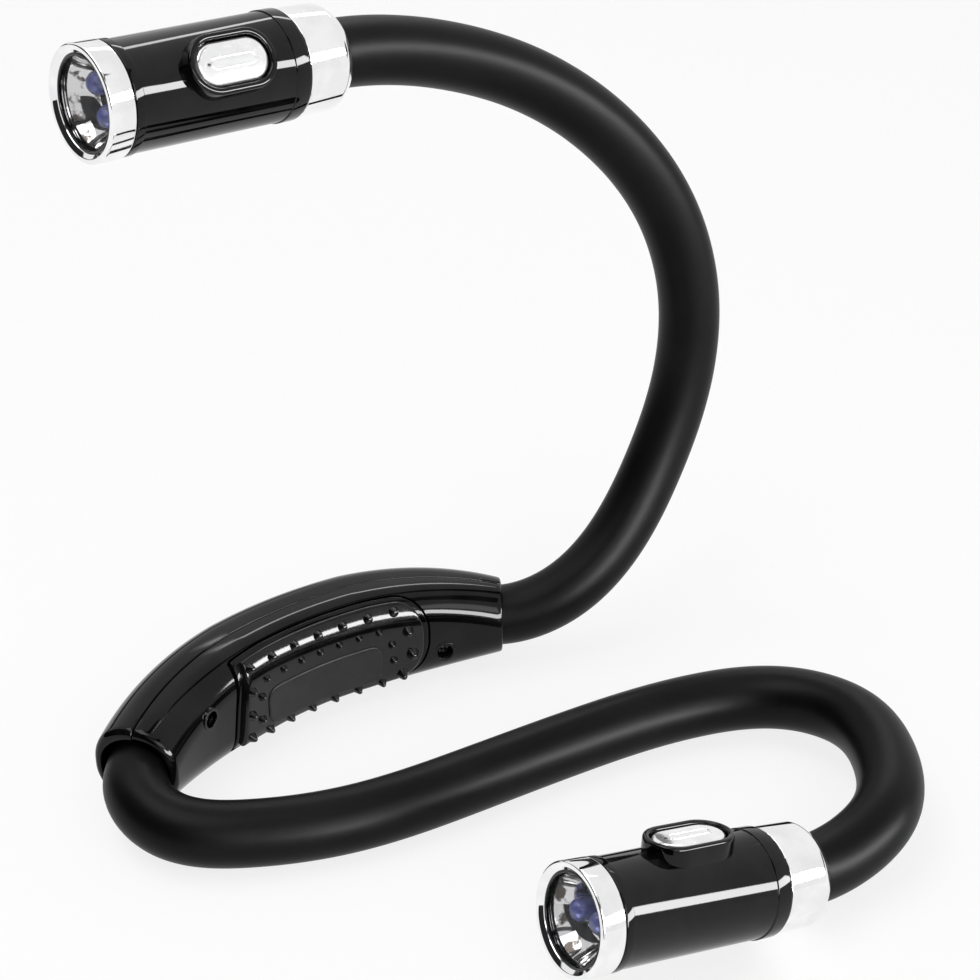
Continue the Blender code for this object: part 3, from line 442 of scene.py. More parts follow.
class Group(Graph):
    """Geometry Nodes group with named inputs, which ends in real geometry with its finish."""

    def __init__(self, name: str, inputs: dict[str, str]) -> None:
        """Opens the group.

        Args:
            name: Its name.
            inputs: Input name to socket type; a source mesh and a finish are added.
        """
        super().__init__(bpy.data.node_groups.new(name, "GeometryNodeTree"))
        face = self.tree.interface
        self.ids = {}
        for key, kind in {"Source": "Geometry", **inputs, "Finish": "Material"}.items():
            socket = face.new_socket(key, in_out="INPUT", socket_type=f"NodeSocket{kind}")
            self.ids[key] = socket.identifier
        face.new_socket("Geometry", in_out="OUTPUT", socket_type="NodeSocketGeometry")
        self.given = self.tree.nodes.new("NodeGroupInput").outputs

    def attribute(self, name: str, kind: str) -> Socket:
        """Reads a named attribute."""
        return self.add("GeometryNodeInputNamedAttribute", {"Name": name}, "Attribute", data_type=kind)

    def close(self, made: Socket) -> None:
        """Ends the group.

        Args:
            made: The geometry that it makes.
        """
        real = self.add("GeometryNodeRealizeInstances", {"Geometry": made})
        dressed = self.add("GeometryNodeSetMaterial", {"Geometry": real, "Material": self.given["Finish"]})
        self.add("NodeGroupOutput", {"Geometry": dressed})

    def use(self, name: str, mesh: bpy.types.Mesh, values: dict[str, object]) -> Piece:
        """Puts the group on a mesh.

        Args:
            name: Name of what it makes.
            mesh: Its source.
            values: Input name to value.

        Returns:
            The object with the group on it.
        """
        source = link_object(f"{name}_source", mesh)
        modifier = source.modifiers.new("nodes", "NODES")
        modifier.node_group = self.tree
        for key, value in values.items():
            modifier[self.ids[key]] = value
        return source


class Repeats(Group):
    """Group that puts a model piece at each point, its Z along the point's `outward`."""

    def __init__(self) -> None:
        """Builds the group once; every set of repeats shares it."""
        super().__init__("repeat_on_points", {"Model": "Object", "Scale": "Float"})
        way = {"Vector": self.attribute("outward", "FLOAT_VECTOR")}
        inputs = {
            "Points": self.given["Source"],
            "Instance": self.add("GeometryNodeObjectInfo", {"Object": self.given["Model"]}, "Geometry"),
            "Rotation": self.add("FunctionNodeAlignRotationToVector", way, axis="Z"),
            "Scale": self.math("MULTIPLY", self.attribute("size", "FLOAT"), self.given["Scale"]),
        }
        self.close(self.add("GeometryNodeInstanceOnPoints", inputs))

    def repeat(
        self, name: str, model: Mesh, places: Sequence[tuple[Vector, Vector, float]], finish: Material
    ) -> Piece:
        """Places a model piece at every given point.

        Args:
            name: Name of the piece that results.
            model: Closed mesh in millimetres, its foot at the origin and its top along Z.
            places: (position in metres, outward direction, size) of each copy.
            finish: Material of the copies.

        Returns:
            One plain mesh with every copy in it.
        """
        pattern = make_piece(f"{name}_model", model, finish)
        mesh = bpy.data.meshes.new(name)
        mesh.from_pydata([place[0] for place in places], [], [])
        mesh.attributes.new("outward", "FLOAT_VECTOR", "POINT")
        mesh.attributes.new("size", "FLOAT", "POINT")
        for k, (_, outward, size) in enumerate(places):
            mesh.attributes["outward"].data[k].vector = outward
            mesh.attributes["size"].data[k].value = size
        made = evaluated_piece(name, self.use(name, mesh, {"Model": pattern, "Scale": 1.0, "Finish": finish}))
        bpy.data.objects.remove(pattern)
        return made


class Tubes(Group):
    """Group that sweeps a round tube along a line of points and keeps some of its rings."""

    def __init__(self) -> None:
        """Builds the group once; every stretch of tube shares it."""
        sizes = {"Radius": "Float", "Sides": "Int", "First ring": "Int", "Last ring": "Int"}
        super().__init__("tube_along_line", sizes)
        given = self.given
        line = self.add("GeometryNodeMeshToCurve", {"Mesh": given["Source"]})
        marks = {"Geometry": line, "Name": "ring", "Value": self.add("GeometryNodeInputIndex", {})}
        marked = self.add("GeometryNodeStoreNamedAttribute", marks, data_type="INT", domain="POINT")
        size = {"Resolution": given["Sides"], "Radius": given["Radius"]}
        circle = self.add("GeometryNodeCurvePrimitiveCircle", size)
        swept = self.add("GeometryNodeCurveToMesh", {"Curve": marked, "Profile Curve": circle})
        ring = self.attribute("ring", "INT")
        outside = {}
        for k, (limit, test) in enumerate((("First ring", "LESS_THAN"), ("Last ring", "GREATER_THAN"))):
            pair = {2: ring, 3: given[limit]}
            outside[k] = self.add("FunctionNodeCompare", pair, data_type="INT", operation=test)
        either = self.add("FunctionNodeBooleanMath", outside, operation="OR")
        chosen = {"Geometry": swept, "Selection": either}
        self.close(self.add("GeometryNodeDeleteGeometry", chosen, domain="POINT"))

    def stretch(self, name: str, points: Sequence[Vector], values: dict[str, object], wall: float) -> Piece:
        """Makes one stretch of a tube, with its wall.

        Args:
            name: Name of the piece.
            points: The whole tube's line, in metres.
            values: The group's inputs.
            wall: Wall thickness in metres.

        Returns:
            The closed stretch as a plain mesh.
        """
        mesh = bpy.data.meshes.new(name)
        mesh.from_pydata(points, [(k, k + 1) for k in range(len(points) - 1)], [])
        source = self.use(name, mesh, values)
        thick = source.modifiers.new("wall", "SOLIDIFY")
        thick.thickness = wall
        thick.offset = -1.0
        return evaluated_piece(name, source, sharp_deg=60.0)


@dataclass
class SubAssembly:
    """Pieces that share the start of their names, a body and a place."""

    finishes: dict[str, Material]
    repeats: Repeats
    prefix: str
    body: str
    place: Matrix

    def make(self, name: str, bm: Mesh, finish: str) -> Piece:
        """Makes a piece at the place of the sub-assembly."""
        return make_piece(self.prefix + name, bm, self.finishes[finish], self.place)

    def fix(self, piece: Piece, slot: Slot, replaced: Sequence[str] = (), body: str = "") -> None:
        """Fixes a piece to its body and hides the nodes that it stands for.

        Args:
            piece: The piece.
            slot: Not used.
            replaced: Nodes that it stands for, without the prefix.
            body: Its body, where that isn't the sub-assembly's own.
        """
        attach(piece, body or self.body)
        if replaced:
            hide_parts(*[self.prefix + node for node in replaced])
        log.info("%s rides on %s with %d faces", piece.name, body or self.body, len(piece.data.polygons))

    def add(
        self, name: str, bm: Mesh, finish: str, slot: Slot, replaced: Sequence[str] = (), body: str = ""
    ) -> None:
        """Makes a piece and fixes it, as make and fix say."""
        self.fix(self.make(name, bm, finish), slot, replaced, body)

    def add_copies(
        self, name: str, model: Mesh, places: Sequence[tuple[Vector, Vector, float]], finish: str,
        slot: Slot, replaced: Sequence[str] = (), body: str = "",
    ) -> None:
        """Makes copies of a model piece and fixes them, as repeat and fix say."""
        made = self.repeats.repeat(self.prefix + name, model, places, self.finishes[finish])
        self.fix(made, slot, replaced, body)


@dataclass(frozen=True)
class Arc:
    """The housing's level arc, and the shape of its section along it."""

    radius: float = 92.0
    middle_deg: float = 126.5
    right: float = 53.8
    left: float = 57.8
    height: float = 27.5
    thickness: float = 21.0
    corner: float = 7.5
    wall: float = 1.6
    mouth_wall: float = 1.2
    mouth_z: float = 12.7
    right_mouth_r: float = 9.0
    left_mouth_r: float = 10.3
    seam_flat: float = 0.6
    rest_inset: float = 1.3
    taper_power: float = 2.6
    taper_flat: float = 0.3

    def outward(self, reach: float) -> Vector:
        """Unit direction away from the arc's centre, at a distance along the arc left of its middle."""
        angle = radians(self.middle_deg) + reach / self.radius
        return Vector((cos(angle), sin(angle), 0))

    def leftward(self, reach: float) -> Vector:
        """Unit direction along the arc."""
        return UP.cross(self.outward(reach))

    def point(self, reach: float, outward: float, z: float) -> Vector:
        """Point beside the arc line, in millimetres."""
        middle = self.outward(0.0) * (self.radius - self.rest_inset)
        return self.outward(reach) * (self.radius + outward) - middle + UP * z

    def fullness(self, reach: float) -> float:
        """Share of the full middle section: 0 at the mouths and 1 along the flat middle.

        Args:
            reach: Distance along the arc.

        Returns:
            The share.
        """
        off_middle = min(1.0, abs(2 * (reach + self.right) / (self.right + self.left) - 1))
        rise = (1 - off_middle**self.taper_power) / (1 - self.taper_flat**self.taper_power)
        return min(1.0, rise)


class Section:
    """Rounded rectangle across the housing at one place."""

    def __init__(self, arc: Arc, reach: float, inside: bool = False, inset: float = 0.0) -> None:
        """Works out the section's sizes.

        Args:
            arc: The housing's arc.
            reach: Distance along it.
            inside: Whether it is the hollow's section.
            inset: How far it is drawn in.
        """
        wall = arc.wall if inside else 0.0
        mouth_r = arc.right_mouth_r if reach < 0 else arc.left_mouth_r
        if inside:
            mouth_r -= arc.mouth_wall
        share = arc.fullness(reach)
        self.half_width = mix(mouth_r, arc.thickness / 2 - wall, share) - inset
        self.top = mix(arc.mouth_z + mouth_r, arc.height - wall, share) - inset
        self.bottom = mix(arc.mouth_z - mouth_r, wall, share) + inset
        self.corner = mix(mouth_r - arc.seam_flat, arc.corner - wall, share) - inset
        self.flat_half = (self.top - self.bottom) / 2 - self.corner

    def half_outline(self, side: int, seam_round: float, steps: int, seam_steps: int = 3) -> Outline:
        """Outline of one half, from the top seam round to the bottom seam.

        Args:
            side: 1 for the outer half, -1 for the inner.
            seam_round: Radius of the edges at the seam.
            steps: Steps round each corner.
            seam_steps: Steps round each edge at the seam.

        Returns:
            (outward, z) points.
        """
        turns = [radians(90 * k / seam_steps) for k in range(seam_steps)]
        seam = [(GAP / 2 + seam_round * (1 - cos(turn)), seam_round * (1 - sin(turn))) for turn in turns]
        points = [(across, self.top - drop) for across, drop in seam]
        for first, centre_z in ((90, self.top - self.corner), (0, self.bottom + self.corner)):
            for step in range(steps + 1):
                turn = radians(first - 90 * step / steps)
                across = self.half_width - self.corner + self.corner * cos(turn)
                points.append((max(across, GAP / 2 + seam_round), centre_z + self.corner * sin(turn)))
        points += [(across, self.bottom + rise) for across, rise in seam[::-1]]
        return [(side * across, z) for across, z in points]

    def wall_at(self, z: float) -> float:
        """Distance of the side wall from the arc line at a height."""
        depth = max(0, z - (self.top - self.corner), self.bottom + self.corner - z)
        return self.half_width - self.corner + sqrt(max(0, self.corner**2 - depth**2))

    def wall_point(self, along: float, offset: float) -> tuple[float, float, float]:
        """Place on the side wall.

        Args:
            along: Distance along the wall from its mid-height.
            offset: Distance off the wall.

        Returns:
            Its distance outward, its height and the lean of the wall there.
        """
        lean = max(0, abs(along) - self.flat_half) / self.corner
        off = self.corner + offset
        rise = copysign(min(abs(along), self.flat_half) + off * sin(lean), along)
        outward = self.half_width - self.corner + off * cos(lean)
        return outward, (self.top + self.bottom) / 2 + rise, copysign(lean, along)


@dataclass(frozen=True)
class WallPatch:
    """Patch of the hollow side's wall with rounded corners, in distances along the arc and the wall.

    With by_shoulder the low and high edges are angles round the section's shoulders.
    """

    right: float
    left: float
    low: float
    high: float
    right_r: float
    left_r: float
    by_shoulder: bool = False

    def rise(self, section: Section, inset: float) -> tuple[float, float]:
        """Lowest and highest distance along the wall, with no rounding.

        Args:
            section: The housing's section there.
            inset: How far the outline is drawn in.

        Returns:
            Both distances.
        """
        if not self.by_shoulder:
            return self.low + inset, self.high - inset
        low = -section.flat_half - section.corner * radians(self.low)
        high = section.flat_half + section.corner * radians(self.high)
        return low + inset, high - inset

    def ends(self, reach: float, inset: float) -> tuple[tuple[float, float], tuple[float, float]]:
        """(distance from the end, corner radius) at the right and at the left end."""
        right = (reach - self.right - inset, self.right_r - inset)
        return right, (self.left - inset - reach, self.left_r - inset)

    def corner_drop(self, reach: float, inset: float) -> float:
        """How far the outline draws in because of its round corners.

        Args:
            reach: Distance along the arc.
            inset: How far the outline is drawn in.

        Returns:
            The drop.
        """
        drop = 0.0
        for depth, radius in self.ends(reach, inset):
            into = max(0.0, radius - max(0.0, depth))
            drop = max(drop, radius - sqrt(max(0.0, radius**2 - into**2)))
        return drop

    def border_distance(self, reach: float, along: float, section: Section, inset: float) -> float:
        """Distance of a place on the patch from its outline.

        Args:
            reach: Distance along the arc.
            along: Distance along the wall.
            section: The housing's section there.
            inset: How far the outline is drawn in.

        Returns:
            The distance.
        """
        low, high = self.rise(section, inset)
        depth, radius = min(self.ends(reach, inset)[::-1], key=lambda end: end[0])
        dx = max(0.0, depth)
        dy = max(0.0, min(along - low, high - along))
        if dx < radius and dy < radius:
            return max(0.0, radius - hypot(radius - dx, radius - dy))
        return min(dx, dy)


def edge_steps(length: float, edge: float, count: int) -> list[float]:
    """Places along a length, close together near its ends.

    Args:
        length: The length.
        edge: Radius of the rounded edge at each end.
        count: Steps between the edges.

    Returns:
        The places, from 0 to the length.
    """
    near = [edge * (1 - cos(radians(angle))) for angle in EDGE_TURNS]
    middle = [mix(edge, length - edge, step / count) for step in range(1, count)]
    return near + middle + [length - value for value in near[::-1]]


@dataclass
class Housing(SubAssembly):
    """Battery housing: two shells, their screws, and the door with its nubbed grip pad."""

    arc: Arc = Arc()
    stations: int = 110
    corner_steps: int = 14
    seam_round: float = 0.4
    mouth_round: float = 0.55
    mouth_turns: tuple[int, ...] = (0, 30, 60)
    corner_turns: range = range(8, 60, 6)
    lip_round: float = 1.5
    lip_run: float = 3.2
    lip_steps: int = 12
    lip_back: float = 0.5
    lip_outer: float = 0.9
    lip_hollow: float = 0.25
    lip_top: float = 0.9
    overrun: float = 0.8
    door_gap: float = 0.4
    hinge_gap: float = 1.2
    door_edge: float = 0.45
    door_slant: float = 3.5
    pad_inset: float = 1.6
    pad_thickness: float = 1.2
    pad_edge: float = 0.8
    plate_rise: float = 0.35
    plate_edge: float = 0.3
    plate_steps: tuple[int, int] = (50, 18)
    least_edge: float = 0.2
    screw_head_r: float = 1.7
    screw_head_t: float = 1.2
    screw_sink: float = 1.4
    screw_arm: float = 0.32
    screw_sides: int = 32
    boss_r: float = 2.6
    boss_seat_t: float = 1.5
    boss_sides: int = 40
    hole_over: float = 1.0
    nub_sink: float = 0.1
    nub_sides: int = 20
    screws: Corners = ((39.5, 18.3), (-37.5, 9.5))
    screw_rim: Corners = ((2.0, -0.5, 0.0), (2.0, 0.22, 0.1), (2.7, 0.22, 0.15), (2.9, -0.5, 0.0))
    nub: Corners = (
        (0, -0.3, 0), (1.35, -0.3, 0), (1.35, 0.0, 0.3), (0.837, 0.9075, 0.6), (0.486, 1.518, 0.35),
        (0, 1.65, 0),
    )
    door: WallPatch = WallPatch(-33.0, 30.8, 35.0, 60.0, 10.0, 0.9, True)
    plate: WallPatch = WallPatch(-18.6, 18.9, -7.4, 2.9, 3.4, 3.4)
    nub_rows: Corners = (
        (9.9, 23.4, -22.8, 7, 1.0), (6.3, 19.0, -17.8, 7, 0.78), (-8.2, 18.5, -18.5, 6, 0.9),
        (5.0, 24.4, 24.4, 1, 0.95), (-1.4, 25.0, 25.0, 1, 1.0), (-7.2, 25.6, 25.6, 1, 1.0),
        (2.0, 21.0, 21.0, 1, 0.85), (-4.4, 21.4, 21.4, 1, 0.9), (4.9, -26.4, -26.4, 1, 1.15),
        (-1.8, -27.6, -27.6, 1, 1.25), (-7.0, -24.6, -24.6, 1, 1.2), (2.0, -21.6, -21.6, 1, 0.85),
        (-2.6, -22.0, -22.0, 1, 0.85),
    )

    def build(self) -> None:
        """Builds every piece of the housing."""
        self.add("housing_outer", self.shell(1), "smoked_gloss", Slot.SMOKE, ["outer_shell"])
        depths = (self.overrun, -self.arc.wall - self.overrun)
        opening = self.wall_plate(self.door, -self.door_gap, depths, 0.0, slant=self.door_slant)
        tools = [(self.make("opening", opening, "smoked_gloss"), "DIFFERENCE")]
        for reach, z in self.screws:
            tools += self.boss_tools(reach, z)
        inner = carve(self.make("housing_inner", self.shell(-1), "smoked_gloss"), tools)
        self.fix(inner, Slot.SMOKE, ["inner_shell"])
        self.build_screws()
        self.build_door()

    def shell(self, side: int) -> Mesh:
        """Half of the housing, with a rolled lip at the left mouth.

        Args:
            side: 1 for the outer half, -1 for the inner.

        Returns:
            The closed half.
        """
        arc = self.arc
        small = self.mouth_round
        low, high = small - arc.right, arc.left - self.lip_run
        turns = [radians(angle) for angle in self.mouth_turns]
        places = [(low - small * cos(turn), small * (1 - sin(turn)), 0.0) for turn in turns]
        places += [(mix(low, high, step / self.stations), 0.0, 0.0) for step in range(self.stations + 1)]
        for step in range(1, self.lip_steps + 1):
            off = self.lip_run * (1 - step / self.lip_steps) ** 2
            turn_in = max(0.0, 1 - off / self.lip_round)
            turn_out = max(0.0, 1 - off / small)
            swell = sin(pi / 2 * (1 - off / self.lip_run)) ** 2
            swell -= (1 - sqrt(1 - turn_out**2)) * self.lip_back
            places.append((arc.left - off, self.lip_round * (1 - sqrt(1 - turn_in**2)), swell))
        rings = []
        for reach, inset, swell in places:
            outline = Section(arc, reach, False, inset).half_outline(side, self.seam_round, self.corner_steps)
            hole = Section(arc, reach, True)
            for outward, z in hole.half_outline(side, 0.0, self.corner_steps)[::-1]:
                lean = (outward / hole.half_width + 1) / 2
                lift = max(0.0, z - arc.mouth_z) / hole.half_width
                thick = mix(self.lip_hollow, self.lip_outer, lean) + self.lip_top * lift**2
                share = 1 - swell * thick / hole.half_width
                outline.append((outward * share, arc.mouth_z + (z - arc.mouth_z) * share))
            rings.append([arc.point(reach, *place) for place in outline])
        return solid(rings, capped=True, merged=True)

    def wall_plate(
        self, patch: WallPatch, inset: float, depths: tuple[float, float], edge: float,
        trim: float = 0.0, slant: float = 0.0, steps: tuple[int, int] = (70, 34),
    ) -> Mesh:
        """Plate that follows the hollow side's wall.

        Args:
            patch: Outline of the plate on the wall.
            inset: How far the outline is drawn in.
            depths: Offsets of its outer and inner face from the wall's outer face.
            edge: Radius of the outer face's rounded border.
            trim: Length taken off the left end.
            slant: How much further right the left end's top lies than its bottom.
            steps: Steps along the arc and along the wall.

        Returns:
            The closed plate.
        """
        start = patch.right + inset
        length = patch.left - patch.right - 2 * inset
        soft = max(edge, self.least_edge)
        round_r = patch.right_r - inset
        runs = edge_steps(length, soft, steps[0])
        runs += [round_r * (1 - cos(radians(angle))) for angle in self.corner_turns]
        rings = []
        for run in sorted(runs):
            shown = start + run - trim * run / length
            section = Section(self.arc, shown)
            low, high = patch.rise(section, inset)
            drop = patch.corner_drop(start + run, inset)
            low += drop
            high -= drop
            outside = []
            inside = []
            for rise in edge_steps(high - low, soft, steps[1]):
                depth = min(edge, patch.border_distance(start + run, low + rise, section, inset))
                fall = edge - sqrt(max(0.0, edge**2 - (edge - depth) ** 2))
                moved = shown - slant * run / length * rise / (high - low)
                place = Section(self.arc, moved)
                for points, offset in ((outside, depths[0] - fall), (inside, depths[1])):
                    outward, z, _ = place.wall_point(low + rise, offset)
                    points.append(self.arc.point(moved, -outward, z))
            rings.append(outside + inside[::-1])
        return solid(rings, capped=True, merged=True)

    def boss_tools(self, reach: float, z: float) -> list[tuple[Piece, str]]:
        """Boss to join and sunk hole to cut for one screw.

        Args:
            reach: The screw's distance along the arc.
            z: Its height.

        Returns:
            Both tools, each with its operation.
        """
        axes = Matrix((self.arc.leftward(reach), UP, self.arc.outward(reach))).transposed().to_4x4()
        place = Matrix.Translation(self.arc.point(reach, 0, z) * MM) @ axes
        face = -Section(self.arc, reach).wall_at(z)
        back = -Section(self.arc, reach, True).wall_at(z)
        seat = face + self.screw_sink + self.screw_head_t + GAP
        tools = []
        for radius, low, high, operation in (
            (self.boss_r, back - self.overrun, seat + self.boss_seat_t, "UNION"),
            (self.screw_head_r + GAP, face - self.hole_over, seat, "DIFFERENCE"),
        ):
            rod = turned([(0, low), (radius, low), (radius, high), (0, high)], self.boss_sides)
            tools.append((make_piece("rod", rod, self.finishes["smoked_gloss"], place), operation))
        return tools

    def build_screws(self) -> None:
        """Two cross-head screws and the raised ring round each of their holes."""
        heads = []
        rims = []
        for reach, z in self.screws:
            face = Section(self.arc, reach).wall_at(z)
            inward = -self.arc.outward(reach)
            heads.append((self.arc.point(reach, self.screw_sink - face, z) * MM, inward, 1.0))
            rims.append((self.arc.point(reach, -face, z) * MM, inward, 1.0))
        nodes = ["screw_left", "screw_right"]
        self.add_copies("housing_screws", self.screw_model(), heads, "screw_black", Slot.STEEL, nodes)
        rim = turned(rounded_line(self.screw_rim, True), self.boss_sides)
        self.add_copies("screw_hole_rims", rim, rims, "smoked_gloss", Slot.SMOKE)

    def screw_model(self) -> Mesh:
        """Screw with a domed head and a cross recess, its head's top at the origin.

        Returns:
            The closed screw.
        """
        levels = (
            (0.0, -0.75, False), (0.18, -0.75, True), (0.62, -0.02, True), (0.85, -0.12, False),
            (1.0, -0.4, False), (1.0, -self.screw_head_t, False), (0.53, -self.screw_head_t, False),
            (0.53, -6.0, False), (0.0, -6.0, False),
        )
        rings = []
        for share, height, crossed in levels:
            ring = []
            for k in range(self.screw_sides if share else 1):
                angle = tau * k / self.screw_sides
                away = share * self.screw_head_r
                if crossed:
                    away = min(away, self.screw_arm / max(min(abs(cos(angle)), abs(sin(angle))), TINY))
                ring.append((away * cos(angle), away * sin(angle), height))
            rings.append(ring)
        return solid(rings)

    def build_door(self) -> None:
        """Door, grip pad, its blank plate and its nubs."""
        trim = self.hinge_gap - self.door_gap
        door = self.wall_plate(self.door, 0.0, (0.0, -self.arc.wall), self.door_edge, trim, self.door_slant)
        self.add("door_cover", door, "smoked_gloss", Slot.SMOKE, ["battery_door"], "door")
        top = GAP + self.pad_thickness
        pad = self.wall_plate(self.door, self.pad_inset, (top, 0.0), self.pad_edge, trim, self.door_slant)
        self.add("door_pad", pad, "pad_gloss", Slot.PAD, ["grip_pad"], "door")
        depths = (top + self.plate_rise, top - GAP)
        plate = self.wall_plate(self.plate, 0.0, depths, self.plate_edge, steps=self.plate_steps)
        self.add("door_pad_plate", plate, "pad_plate", Slot.PAD, (), "door")
        places = []
        for along, first, last, count, size in self.nub_rows:
            for step in range(count):
                reach = mix(first, last, step / max(1, count - 1))
                outward, z, lean = Section(self.arc, reach).wall_point(along, top - self.nub_sink)
                way = -self.arc.outward(reach) * cos(lean) + UP * sin(lean)
                places.append((self.arc.point(reach, -outward, z) * MM, way, size))
        nub = turned(rounded_line(self.nub, False, 3), self.nub_sides)
        self.add_copies("door_pad_nubs", nub, places, "nub_gloss", Slot.PAD, (), "door")


def clamped_spline(
    points: np.ndarray, first_way: np.ndarray, last_way: np.ndarray, samples: int
) -> np.ndarray:
    """Cubic spline through points, spaced by chord.

    Args:
        points: The points.
        first_way: Unit direction in which it leaves.
        last_way: Unit direction in which it arrives.
        samples: Points of the line.

    Returns:
        The line.
    """
    spans = np.linalg.norm(np.diff(points, axis=0), axis=1)
    count = len(points)
    system = np.zeros((count, count))
    system[0, 0] = system[-1, -1] = 1
    right = np.zeros((count, 3))
    right[0] = first_way
    right[-1] = last_way
    for k in range(1, count - 1):
        before, after = spans[k - 1], spans[k]
        system[k, k - 1:k + 2] = after, 2 * (before + after), before
        rise_before = (points[k] - points[k - 1]) / before
        rise_after = (points[k + 1] - points[k]) / after
        right[k] = 3 * (after * rise_before + before * rise_after)
    slopes = np.linalg.solve(system, right)
    marks = np.concatenate([[0], np.cumsum(spans)])
    line = []
    for mark in np.linspace(0, marks[-1], samples):
        k = min(int(np.searchsorted(marks, mark, side="right")) - 1, count - 2)
        share = (mark - marks[k]) / spans[k]
        ease = share * share * (3 - 2 * share)
        bend = slopes[k] * (1 - share) - slopes[k + 1] * share
        line.append(points[k] + (points[k + 1] - points[k]) * ease + bend * (share * (1 - share) * spans[k]))
    return np.array(line)


class Route:
    """Smooth line through chosen points, in millimetres, that leaves a mouth of the housing."""

    anchor: float = 42.9
    span: float = 100.0
    samples: int = 600
    straight: float = 11.6

    def __init__(self, arc: Arc, side: int, shares: Corners) -> None:
        """Samples the line.

        Args:
            arc: The housing's arc.
            side: 1 where it leaves leftward, -1 rightward.
            shares: Points as (along, aside, up) shares of the span, and last the way it ends.
        """
        reach = side * self.anchor
        along = arc.leftward(reach) * side
        axes = np.array([along, UP.cross(along), UP])
        offsets = np.array([(0, 0, 0), *shares]) @ axes
        start = np.array(arc.point(reach, 0, arc.mouth_z))
        ahead = offsets[-1] / np.linalg.norm(offsets[-1])
        line = clamped_spline(start + offsets[:-1] * self.span, axes[0], ahead, self.samples)
        self.line = np.vstack([line, line[-1] + ahead * self.straight])
        steps = np.linalg.norm(np.diff(self.line, axis=0), axis=1)
        self.marks = np.concatenate([[0], np.cumsum(steps)])
        self.tangents = np.gradient(self.line, self.marks, axis=0)

    def at(self, mark: float) -> tuple[Vector, Vector]:
        """Point of the line.

        Args:
            mark: Its distance along the line.

        Returns:
            Its place in millimetres, and the line's direction there.
        """
        found = []
        for table in (self.line, self.tangents / np.linalg.norm(self.tangents, axis=1)[:, None]):
            found.append(Vector([float(np.interp(mark, self.marks, table[:, k])) for k in range(3)]))
        return found[0], found[1].normalized()

    def head_place(self, out_way: Numbers) -> Matrix:
        """Place of a head at the line's end.

        Args:
            out_way: Direction that its button faces most.

        Returns:
            World place in metres: +Z along its axis and +X out through its button.
        """
        tip, ahead = self.at(self.marks[-1])
        way = Vector(out_way)
        out = (way - ahead * way.dot(ahead)).normalized()
        turn = Matrix((out, ahead.cross(out), ahead)).transposed().to_4x4()
        return Matrix.Translation((tip - ahead * self.straight) * MM) @ turn


@dataclass
class Arm:
    """One bendable arm: its soft tube, in stretches that each span one hinge."""

    number: int
    route: Route
    tubes: Tubes
    finish: Material
    tube_r: float = 7.5
    bore_r: float = 5.0
    hinges: int = 5
    sleeve_start: float = 2.8
    tube_seat: float = 5.0
    rings: int = 52
    sides: int = 48
    bend_half: float = 15.0

    def build(self) -> None:
        """Builds the tube's stretches."""
        route = self.route
        end = route.marks[-1] - route.straight + self.tube_seat
        count = self.rings * self.hinges
        marks = [mix(self.sleeve_start, end, k / count) for k in range(count + 1)]
        points = [route.at(mark)[0] * MM for mark in marks]
        for k in range(1, self.hinges + 1):
            first, last = (k - 1) * self.rings, k * self.rings
            values = {"Radius": self.tube_r * MM, "Sides": self.sides, "Finish": self.finish}
            values |= {"First ring": first, "Last ring": last}
            name = f"arm_{self.number}_tube_{k}"
            piece = self.tubes.stretch(name, points, values, (self.tube_r - self.bore_r) * MM)
            hinge, way = route.at((marks[first] + marks[last]) / 2)
            start, stop = self.bend_span(piece, hinge * MM, way)
            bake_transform(piece)
            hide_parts(f"arm_{self.number}_sleeve_{k}")

    def bend_span(self, piece: Piece, hinge: Vector, way: Vector) -> tuple[Vector, Vector]:
        """Start and end of a stretch's bend, clear of both of its end rings.

        Args:
            piece: The stretch.
            hinge: Middle of the bend, in metres.
            way: Direction of the tube there.

        Returns:
            Both points, in metres.
        """
        ring = piece.data.attributes["ring"]
        numbers = np.zeros(len(piece.data.vertices), np.int32)
        ring.data.foreach_get("value", numbers)
        places = np.array([vertex.co for vertex in piece.data.vertices])
        ahead = (places - np.array(hinge)) @ np.array(way)
        back = float(-ahead[numbers == numbers.min()].max())
        front = float(ahead[numbers == numbers.max()].min())
        limit = self.bend_half * MM
        piece.data.attributes.remove(ring)
        return hinge - way * min(back, limit), hinge + way * min(front, limit)


